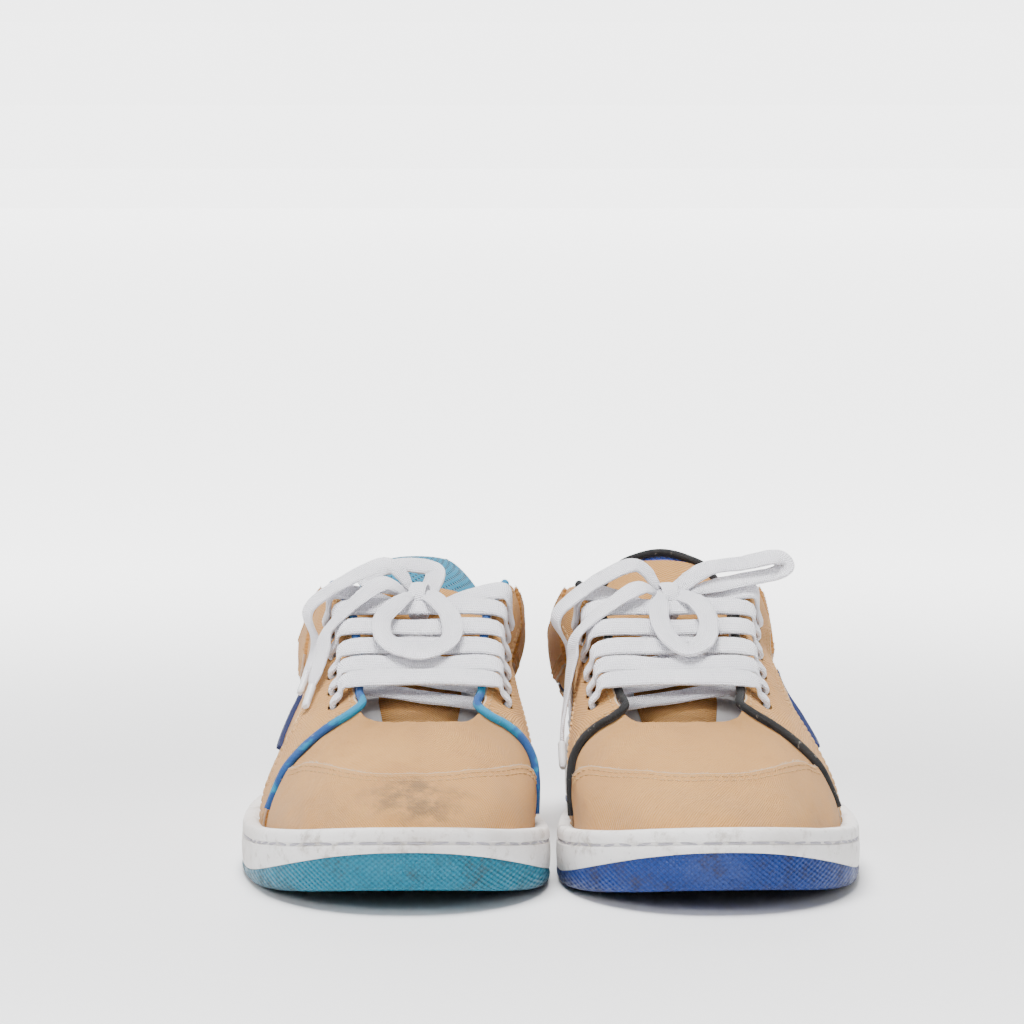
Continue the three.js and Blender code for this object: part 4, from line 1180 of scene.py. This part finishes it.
def lining(shoe):
    """The cotton lining: a closed band round the shoe, up to the laces' strip or the collar's pad."""
    u = np.linspace(-1, 1, 321)[:-1]
    v = np.minimum(np.abs(u), 2 - np.abs(u))
    drop = 1 + np.maximum(16 * np.clip((v - 0.2) / 0.06, 0, 1), 32 * np.clip((v - 0.56) / 0.08, 0, 1))
    h = below(u, drop)[:, None] * np.linspace(0, 1, 16)[None]
    outer, inner = on_form(u[:, None], h, 0.8), on_form(u[:, None], h, 0)
    skin = Skin()
    tube(skin, np.concatenate([outer, inner[:, ::-1]], 1), closed=True)
    return skin.build(shoe, f"{shoe.name}_cotton_lining", materials["cotton"])


def collar_pad(shoe):
    """Foam round the ankle: a rounded section that fills out between its two ends."""
    front = 0.625
    a = np.linspace(0, 1, 180)
    u = mix(front, 2 - front, a)
    full = np.sin(math.pi * mix(0.06, 0.94, a)) ** 0.3
    corners = [
        (29, 2.6, 0), (20, 2.65, 0), (8, 2.65, 0), (1, 2.65, 0.6),
        (0, 1.4, 2.3), (0, -0.6, 3.3), (0, -3, 2.6), (4, -5.6, 0.6),
        (12, -6.3, 0), (19, -5.6, 0), (25, -2.2, 0), (29, 0.6, 0),
    ]
    rows = []
    for distance, depth, rise in corners:
        place = on_form(u, below(u, np.full_like(u, distance)), np.where(depth < 2.5, depth * full, depth))
        place[:, 2] += rise * full
        rows.append(place)
    section = np.stack(rows, 0)
    loop = np.concatenate([section, section[:1]], 0)
    smooth_loop = through(loop.reshape(len(loop), -1), np.linspace(0, 1, 49)[:-1])
    points = np.moveaxis(smooth_loop.reshape(48, len(u), 3), 0, 1)
    skin = Skin()
    tube(skin, points)
    return skin.build(shoe, f"{shoe.name}_collar_padding", shoe.look["mesh"])


for shoe in SHOES:
    for word, sign in (("inner", 1), ("outer", -1)):
        stand(piping(shoe, sign), shoe, "shoe", [f"piping_{word}"])
    stand(lining(shoe), shoe, "shoe", ["lining"])
    pad = stand(collar_pad(shoe), shoe, "shoe", ["collar_pad"])
print("collar padding:", len(pad.data.vertices), "points")

# %% [markdown]
# ## Tongue
# A foam pad under a canvas face. On the teal shoe the mesh of the pad shows above the face, and the blue
# shoe's tongue is bound with black tape.

# %% Tongue pieces
TONGUE_FRONT, TONGUE_TOP, TONGUE_HALF, FOAM = 78, 197, 27, 4.5
TONGUE_ARCH = 0.0095  # how fast the tongue drops away from its middle line
tongue_middle = curve(
    (TONGUE_FRONT, THROAT - 8.5),
    (90.9, THROAT - 5.1),
    (123.9, 66.6),
    (150, 81.475),
    (171, 90.9),
    (TONGUE_TOP, 109),
)


def tongue_half(t):
    """Half width: it opens out from its sewn end and rounds in at the top."""
    rounding = 1 - 0.55 * np.clip((t - 0.8) / 0.2, 0, 1) ** 2.4
    return TONGUE_HALF * mix(0.8, 1, np.clip(t * 3, 0, 1)) * rounding


def on_tongue(t, across, depth, half):
    """Place on the tongue: an arch across, lifted along the slope's normal."""
    s, x = mix(TONGUE_FRONT, TONGUE_TOP, t), across * half
    rise = (tongue_middle(s + 1) - tongue_middle(s - 1)) / 2
    normal = unit(np.stack(np.broadcast_arrays(0 * rise, -rise, 1.0), -1))
    wave = 0.35 * soft_noise(x, s, 17, 5)
    height = tongue_middle(s) - TONGUE_ARCH * x * x
    place = np.stack(np.broadcast_arrays(middle(s) + x, s - LENGTH / 2, height), -1)
    return place + (depth + wave)[..., None] * normal


def tongue_grid(to, depth, inset=0.0, along=110, across=50):
    """The tongue's grid up to a share of its length, at a depth that may vary over it."""
    t = np.linspace(0, to, along)[:, None]
    b = np.sin(math.pi / 2 * np.linspace(-1, 1, across))[None]
    t, b = np.broadcast_arrays(t, b)
    return on_tongue(t, b, depth(t, b), tongue_half(t) - inset)


def tongue_pad(shoe):
    def thickness(t, b):
        ends = np.clip((1 - t) / 0.04, 0, 1) ** 0.5
        return FOAM * mix(0.35, 1, np.clip(2 * t, 0, 1)) * (1 - 0.6 * np.abs(b) ** 3) * mix(0.4, 1, ends)
    top = lambda t, b: -1.3 - 0.8 * np.abs(b) ** 6 - 1.0 * (1 - np.clip((1 - t) / 0.02, 0, 1) ** 0.5)
    outer = tongue_grid(1, top)
    inner = tongue_grid(1, lambda t, b: -1.6 - thickness(t, b))
    skin = Skin()
    slab(skin, outer, inner)
    return skin.build(shoe, f"{shoe.name}_tongue_foam", shoe.look["mesh"])


def tongue_face(shoe, to):
    """Canvas over the tongue, dipping at its sides and at its upper end."""
    def depth(t, b):
        return 0.1 - 0.5 * np.abs(b) ** 8 - 0.4 * np.clip((t - to + 0.02) / 0.02, 0, 1)
    skin = Skin()
    t = np.linspace(0, to, 110)[:, None]
    inset = 2.6 + 9 * smooth((0.58 - t) / 0.14)
    outer = tongue_grid(to, depth, inset)
    slab(skin, outer, tongue_grid(to, lambda t, b: -1.2 + 0 * t, inset))
    return skin.build(shoe, f"{shoe.name}_tongue_canvas", materials["tongue"])


def tongue_gusset(shoe):
    """White cotton that joins the tongue's lower half to the lining on both sides."""
    outer = tongue_grid(0.62, lambda t, b: -0.55 + 0 * t, 0.8, 70, 50)
    skin = Skin()
    slab(skin, outer, tongue_grid(0.62, lambda t, b: -1.2 + 0 * t, 0.8, 70, 50))
    return skin.build(shoe, f"{shoe.name}_tongue_gusset", materials["cotton"])


def tongue_binding(shoe):
    t = np.linspace(0.5, 0.965, 40)
    sides = [on_tongue(t, np.full_like(t, x), np.full_like(t, 0.1), tongue_half(t) - 1) for x in (-1, 1)]
    x = np.linspace(-0.9, 0.9, 24)
    end = 0.965 + 0.027 * (1 - x * x)
    top = on_tongue(end, x, np.full_like(x, 0.1), tongue_half(end) - 1)
    path = through(np.concatenate([sides[0], top, sides[1][::-1]])[::3], np.linspace(0, 1, 160))
    skin = Skin()
    rope(skin, path, 1.5, 1.5)
    return skin.build(shoe, f"{shoe.name}_tongue_tape", shoe.look["trim"])


for shoe, to in ((teal, 0.86), (blue, 0.965)):
    pad = stand(tongue_pad(shoe), shoe, "tongue", ["tongue_pad"])
    stand(tongue_face(shoe, to), shoe, "tongue", ["tongue_face"])
    stand(tongue_gusset(shoe), shoe, "tongue", [])
stand(tongue_binding(blue), blue, "tongue", ["tongue_binding"])
print("tongues made")

# %% [markdown]
# ## Laces
# Each shoe has one flat lace. It runs through the eyelets, is tied in a bow, and its loops and ends lie
# loose, and the length of each of those four stretches is printed. Their points are the pattern's own route.

# %% Lace routes
LACE, THICK, BUNCHED = 7.5, 1.6, (3.2, 2.2)
OVER, UNDER, PIPED = 8.05, -1.8, 2.2
KNOT_RADIUS = 5
knot_s = float(edge_s(np.array(0.517)))
knot = np.array([float(middle(knot_s)), knot_s - LENGTH / 2, float(edge_z(np.array(0.517))) + 4.5])


def eyelet(i):
    return EYELETS[min(5, max(0, i))]


def row_way(sign, i):
    """Direction along the row of eyelets."""
    (u0, h0), (u1, h1) = eyelet(i - 1), eyelet(i + 1)
    return unit(on_form(sign * u1, h1, 0) - on_form(sign * u0, h0, 0))


def through_eyelet(sign, i):
    """The lace through one eyelet, from under the upper to above it."""
    (u, h), wide = eyelet(i), row_way(sign, i)
    inside = mix(h, 1, 0.4)
    spots = [(inside, UNDER), (h, UNDER), (h, 4.1), (h, OVER - 0.9)]
    route = [(on_form(sign * u, k, d), wide, *BUNCHED) for k, d in spots]
    return route + [(on_form(sign * u, inside, OVER + 0.2), wide, 6, THICK)]


def at_throat(sign, i, depth):
    """The lace where it crosses the throat's edge."""
    place = on_form(sign * eyelet(i)[0], 1.0, depth)
    if depth > 0:
        place[2] += PIPED
    lean = (0.0, 0, 0.3) if depth > 0 else 0
    return place, unit(row_way(sign, i) + lean), LACE + 0.6, THICK + 0.3


def halfway(a, b, rise):
    return mix(a[0], b[0], 0.5) + (0, 0, rise), unit(a[1] + b[1]), LACE + 0.6, THICK + 0.3


def at_knot(x, y, z):
    """A point just off the knot, in the given direction."""
    return unit(np.array([x, y, z], float)) * (KNOT_RADIUS + 0.8) + knot


def lace_route():
    """The held lace: from the knot down to the lowest eyelets, across the pairs and up to the knot again."""
    end = lambda sign: (at_knot(sign, 0, -0.4), np.array([0, 0.8, 0.6]), *BUNCHED)
    def to_knot(sign):
        rim = at_throat(sign, 5, OVER + 2)
        return [rim, halfway(rim, end(sign), 1)]
    route = [end(-1), *to_knot(-1)[::-1], *through_eyelet(-1, 5)[::-1][:-1]]
    for i in range(5, -1, -1):
        u = eyelet(i)[0] - 0.004
        square = on_form(-u, 0.8, 1) - on_form(-u, 0.8, 0)
        spot = on_form(-u, float(below(np.array(u), 16)), UNDER - 0.6)
        route.append((spot, unit(np.cross(row_way(-1, i), square)), *BUNCHED))
    route += through_eyelet(-1, 0)[1:]
    for i in range(5):
        bar = [at_throat(sign, i, OVER) for sign in (-1, 1)]
        sag = (0.9, -0.5, 0.6, -0.2, 0.5)[i]
        route += [bar[0], halfway(*bar, sag), bar[1], *through_eyelet(1, i)[::-1]]
        if i < 4:
            low = [at_throat(1, i, UNDER - 0.6), at_throat(-1, i + 1, UNDER - 0.6)]
            route += [low[0], halfway(*low, 0), low[1], *through_eyelet(-1, i + 1)]
    return route + through_eyelet(1, 5)[1:] + to_knot(1) + [end(1)]


def flat_lace(skin, path, wide, width, thickness):
    """A flat tubular lace: superellipse sections, a little thicker along both edges."""
    forward = unit(np.gradient(path, axis=0))
    wide = unit(wide - (wide * forward).sum(-1, keepdims=True) * forward)
    thick = np.cross(forward, wide)
    t = np.linspace(0, 2 * math.pi, 16, endpoint=False)[None, :]
    x = np.sign(np.cos(t)) * np.abs(np.cos(t)) ** 0.7
    y = np.sign(np.sin(t)) * np.abs(np.sin(t)) ** 0.75 * (0.82 + 0.3 * x * x)
    gone = travelled(path)[:, None]
    worn = soft_noise(gone, 40 * x, 11, 71) * 0.35 + soft_noise(gone, 40 * x, 2.4, 72) * 0.16
    x, y = x * (width[:, None] / 2 + worn), y * (thickness[:, None] / 2 + 0.5 * worn)
    tube(skin, path[:, None] + x[..., None] * wide[:, None] + y[..., None] * thick[:, None])


def held_lace(shoe):
    route = lace_route()
    place, wide = (np.array([point[k] for point in route]) for k in (0, 1))
    sizes = np.array([point[2:] for point in route], float)
    t = np.linspace(0, 1, 6 * len(route))
    skin = Skin()
    size = through(sizes, t)
    flat_lace(skin, through(place, t), through(wide, t), size[:, 0], size[:, 1])
    return skin.build(shoe, f"{shoe.name}_laced_run", materials["lace"], 70)


OUT_FACE = np.array([0, -0.6, 0.8])


def free_lace(shoe, name, points, faces, tip=False):
    """A loose stretch of lace, narrow at the knot, and its centre line in the model's frame."""
    n = 12 * (len(points) - 1)
    t = np.linspace(0, 1, n)
    path, face = through(points, t), through(faces, t)
    wide = np.cross(face, unit(np.gradient(path, axis=0)))
    opening = np.clip(6 * np.minimum(t, (1.2 - t)), 0, 1)
    width, thickness = mix(3, LACE, opening), np.full(n, THICK)
    if tip:
        left = (1 - t) * np.linalg.norm(np.diff(path, axis=0), axis=1).sum()
        pinch = smooth(1 - (left - 10) / 10)
        width, thickness = mix(width, 2.3, pinch), mix(thickness, 2.0, pinch)
    skin = Skin()
    flat_lace(skin, path, wide, width, thickness)
    piece = skin.build(shoe, f"{shoe.name}_{name}", materials["lace"], 70)
    return piece, shoe.place(path), path


def wrap(skin, radii, centre, tilt, width):
    """One turn of lace round the knot: an ellipse in a tilted upright plane, flat side outwards."""
    a = np.linspace(0, 2 * math.pi, 41)[:-1]
    way = np.array([math.cos(tilt), math.sin(tilt), 0])
    path = centre + radii[0] * np.cos(a)[:, None] * way + radii[1] * np.sin(a)[:, None] * (0, 0, 1)
    out = np.cos(a)[:, None] * way + np.sin(a)[:, None] * (0, 0, 1)
    across = np.broadcast_to(np.cross(way, (0, 0, 1)), out.shape)
    forward = unit(np.roll(path, -1, 0) - np.roll(path, 1, 0))
    t = np.linspace(0, 2 * math.pi, 16, endpoint=False)[None, :, None]
    ring = np.cos(t) * across[:, None] * width / 2 + np.sin(t) * np.cross(forward, across)[:, None] * 0.9
    tube(skin, path[:, None] + ring, closed=True)


def lace_knot(shoe):
    """The tied knot: a soft core, one upright turn over its front and two turns that cross behind it."""
    skin = Skin()
    a = np.linspace(0, 2 * math.pi, 33)[None, :]
    b = np.linspace(-math.pi / 2, math.pi / 2, 17)[:, None]
    bulge = 1 + 0.06 * np.sin(3 * a) * np.cos(b)
    core = 5.4 * np.cos(b) * np.cos(a), 4.1 * np.cos(b) * np.sin(a), 4.3 * np.sin(b)
    ball = np.stack(np.broadcast_arrays(*core), -1)
    skin.grid(skin.add(knot + ball * bulge[..., None], uv_of(ball)))
    wrap(skin, (7.2, 6.4), knot + (0, 0, 0.3), math.radians(80), 6.6)
    wrap(skin, (5.6, 4.3), knot + (0, 0.6, -0.3), math.radians(20), 4.6)
    wrap(skin, (5.6, 4.2), knot + (0, 0.4, 0.4), math.radians(-24), 4.6)
    return skin.build(shoe, f"{shoe.name}_bow_knot", materials["lace"], 70)


BOWS = {
    "teal": {
        "loops": [
            [
                (-0.45, 0.8, 0.45),
                [(-13, 8, 5), (-20, 12, 7), (-16, 17, 10), (-5, 20, 12), (6, 16, 10)],
                (0.5, 0.75, 0.4),
            ],
            [
                (-0.3, -0.7, 0.65),
                [
                    (-7, -12, 1.8), (-14, -24, -4), (-12, -36, -10.5), (0, -42, -14),
                    (11, -36, -10.5), (12, -24, -4), (7, -12, 1.5),
                ],
                (0.45, -0.6, 0.65),
            ],
        ],
        "ends": [
            [
                (-0.9, -0.25, 0.5),
                (-15, -7, 7.5),
                [(-0.46, 0.94, 13), (-0.435, 0.85, 11.5), (-0.405, 0.76, 9.5), (-0.375, 0.68, 8)],
            ],
            [
                (-0.6, 0.15, 0.95),
                (-14, 2, 14),
                [(-0.515, 0.93, 19), (-0.49, 0.79, 10.5), (-0.465, 0.7, 8.5), (-0.44, 0.62, 7.6)],
            ],
        ],
    },
    "blue": {
        "loops": [
            [
                (-0.8, 0.1, 0.5),
                [
                    (-16, 0, 5.6), (-29, -1, 8.6), (-41, -2, 11), (-44.5, -2, 14),
                    (-41, -1, 17), (-29, 1, 14.6), (-15, 3, 12),
                ],
                (-0.55, 0.35, 0.75),
            ],
            [
                (0.3, -0.65, 0.65),
                [
                    (4, -12, 1.5), (5, -24, -4), (2, -35, -10), (-4, -40, -13),
                    (-11, -35, -10), (-13, -24, -4), (-10, -12, 1.5),
                ],
                (-0.6, -0.6, 0.65),
            ],
        ],
        "ends": [
            [
                (0.8, -0.4, 0.6),
                (13, -8, 6),
                [
                    (0.455, 0.94, 13.5), (0.435, 0.84, 11.8), (0.415, 0.7, 9.6),
                    (0.4, 0.54, 8.8), (0.39, 0.38, 8),
                ],
            ],
            [
                (0.6, 0.15, 0.95),
                (14, 2, 14),
                [
                    (0.515, 0.93, 19), (0.495, 0.79, 10.5), (0.48, 0.66, 8.4),
                    (0.47, 0.5, 7.2), (0.465, 0.36, 6.6),
                ],
            ],
        ],
    },
}


def declare(shoe, piece, path):
    """Prints the length of a loose stretch's centre line."""
    length = float(np.linalg.norm(np.diff(path, axis=0), axis=1).sum())
    tuple(path[0])
    print(piece.name, "length", round(length * 1000), "mm")


def aglet(shoe, name, path):
    """The lace's plastic tip: a short tube round its last 11 mm, a little wider at its mouth."""
    gone = travelled(path)
    where = gone[-1] - np.linspace(11, -0.3, 16)
    core = np.stack([np.interp(np.minimum(where, gone[-1]), gone, path[:, k]) for k in range(3)], -1)
    core[-1] = core[-2] + 0.5 * unit(core[-2] - core[-3])
    a, b = frames(core)
    r = np.interp(np.linspace(0, 1, 16), [0, 0.05, 0.12, 0.9, 1], [1.35, 1.65, 1.5, 1.4, 0.9])[:, None, None]
    t = np.linspace(0, 2 * math.pi, 14, endpoint=False)[None, :, None]
    skin = Skin()
    tube(skin, core[:, None] + r * (np.cos(t) * a[:, None] + np.sin(t) * b[:, None]))
    return skin.build(shoe, f"{shoe.name}_{name}", materials["aglet"])


materials["aglet"] = fibre("milky_lace_tip", (0.80, 0.80, 0.82), 200, 0.03, 0.25)
for shoe in SHOES:
    stand(held_lace(shoe), shoe, "shoe", ["lace_run"])
    stand(lace_knot(shoe), shoe, "shoe", ["lace_knot"])
    bow = BOWS[shoe.name]
    for i, (start, spots, end) in enumerate(bow["loops"], 1):
        points = np.array([at_knot(*start), *(knot + spot for spot in np.array(spots, float)), at_knot(*end)])
        piece, path, _ = free_lace(shoe, f"bow_loop_{i}", points, np.broadcast_to(OUT_FACE, points.shape))
        stand(piece, shoe, "shoe", [f"lace_loop_{i}"])
        declare(shoe, piece, path)
    for i, (start, near, spots) in enumerate(bow["ends"], 1):
        lying = np.array([on_form(u, h, d) for u, h, d in spots])
        normals = np.array([on_form(u, h, 1) - on_form(u, h, 0) for u, h, d in spots])
        points = np.concatenate([[at_knot(*start), knot + near], lying])
        faces = np.concatenate([[OUT_FACE, OUT_FACE], normals])
        piece, path, local = free_lace(shoe, f"lace_tail_{i}", points, faces, tip=True)
        stand(piece, shoe, "shoe", [f"lace_end_{i}"])
        tip = stand(aglet(shoe, f"lace_tip_{i}", local), shoe, "shoe", [])
        declare(shoe, piece, path)

# %% [markdown]
# ## Hidden pieces
# The foam wedge, the insole board, the toe puff and the heel counter lie inside the shoe. Their own solids
# are right as they are, and only get their materials.

# %% Materials of the pieces inside
INSIDE = {
    "midsole_wedge": "foam",
    "insole_board": "board",
    "toe_puff": "stiffener",
    "heel_counter": "stiffener",
}
for shoe in SHOES:
    for node, kind in INSIDE.items():
        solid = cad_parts[f"{shoe.name}_{node}"]
        solid.data.materials.clear()
        solid.data.materials.append(materials[kind])
print(len(INSIDE), "hidden pieces a shoe")

# %% [markdown]
# ## Floor and light
# A white studio: a pale floor that glows further out and curves up behind the shoes, a dim even surround,
# a soft light overhead that leaves a faint shadow, and two weaker ones in front.

# %% Floor, surround and lights
def studio_floor():
    """A pale floor: a wide sheet, flat under the shoes and curved up far behind them."""
    across, along = 9, 60
    x = np.linspace(-6, 6, across)[:, None]
    run = np.linspace(0, 1, along)[None]
    y = -4 + 12 * np.minimum(run / 0.7, 1)
    z = 5 * smooth((run - 0.6) / 0.4)
    points = np.stack(np.broadcast_arrays(x, y, z), -1)
    mesh = bpy.data.meshes.new("studio_floor")
    n = np.arange(across * along).reshape(across, along)
    quads = np.stack([n[:-1, :-1], n[1:, :-1], n[1:, 1:], n[:-1, 1:]], -1).reshape(-1, 4)
    mesh.from_pydata(points.reshape(-1, 3).tolist(), [], quads.tolist())
    floor = bpy.data.objects.new("studio_floor", mesh)
    g = Graph("pale_floor", 0.6)
    pale = g.blend((0.90, 0.90, 0.91), (0.94, 0.94, 0.945), g.noise(g.place(), 3))
    g.finish(pale)
    far = g.add("ShaderNodeVectorMath", {0: g.place()}, out="Value", operation="LENGTH")
    glow = g.blend((0.0, 0.0, 0.0), (1.0, 1.0, 1.0), g.band(far, 0.2, 1.1))
    g.tree.links.new(glow.socket, g.shader.inputs["Emission Color"])
    g.shader.inputs["Emission Strength"].default_value = 3.0
    mesh.materials.append(g.material)
    bpy.context.scene.collection.objects.link(floor)


def area_light(name, place, aim, size, watts):
    lamp = bpy.data.lights.new(name, "AREA")
    lamp.shape, lamp.size, lamp.energy = "DISK", size, watts
    light = bpy.data.objects.new(name, lamp)
    light.location = place
    light.rotation_euler = (Vector(aim) - Vector(place)).to_track_quat("-Z", "Y").to_euler()
    bpy.context.scene.collection.objects.link(light)


studio_floor()
world = bpy.data.worlds.new("studio")
bpy.context.scene.world = world
world.use_nodes = True
world.node_tree.nodes["Background"].inputs["Color"].default_value = (1, 1, 1, 1)
world.node_tree.nodes["Background"].inputs["Strength"].default_value = 0.25
area_light("overhead", (-0.1, -0.2, 1.4), (0, 0, 0), 0.8, 46)
area_light("front_left", (-1.2, -1.4, 1.0), (0, -0.1, 0.05), 0.8, 20)
area_light("front_right", (1.3, -1.3, 0.8), (0, -0.1, 0.05), 0.8, 9)
print("lights:", [light.name for light in bpy.data.lights])
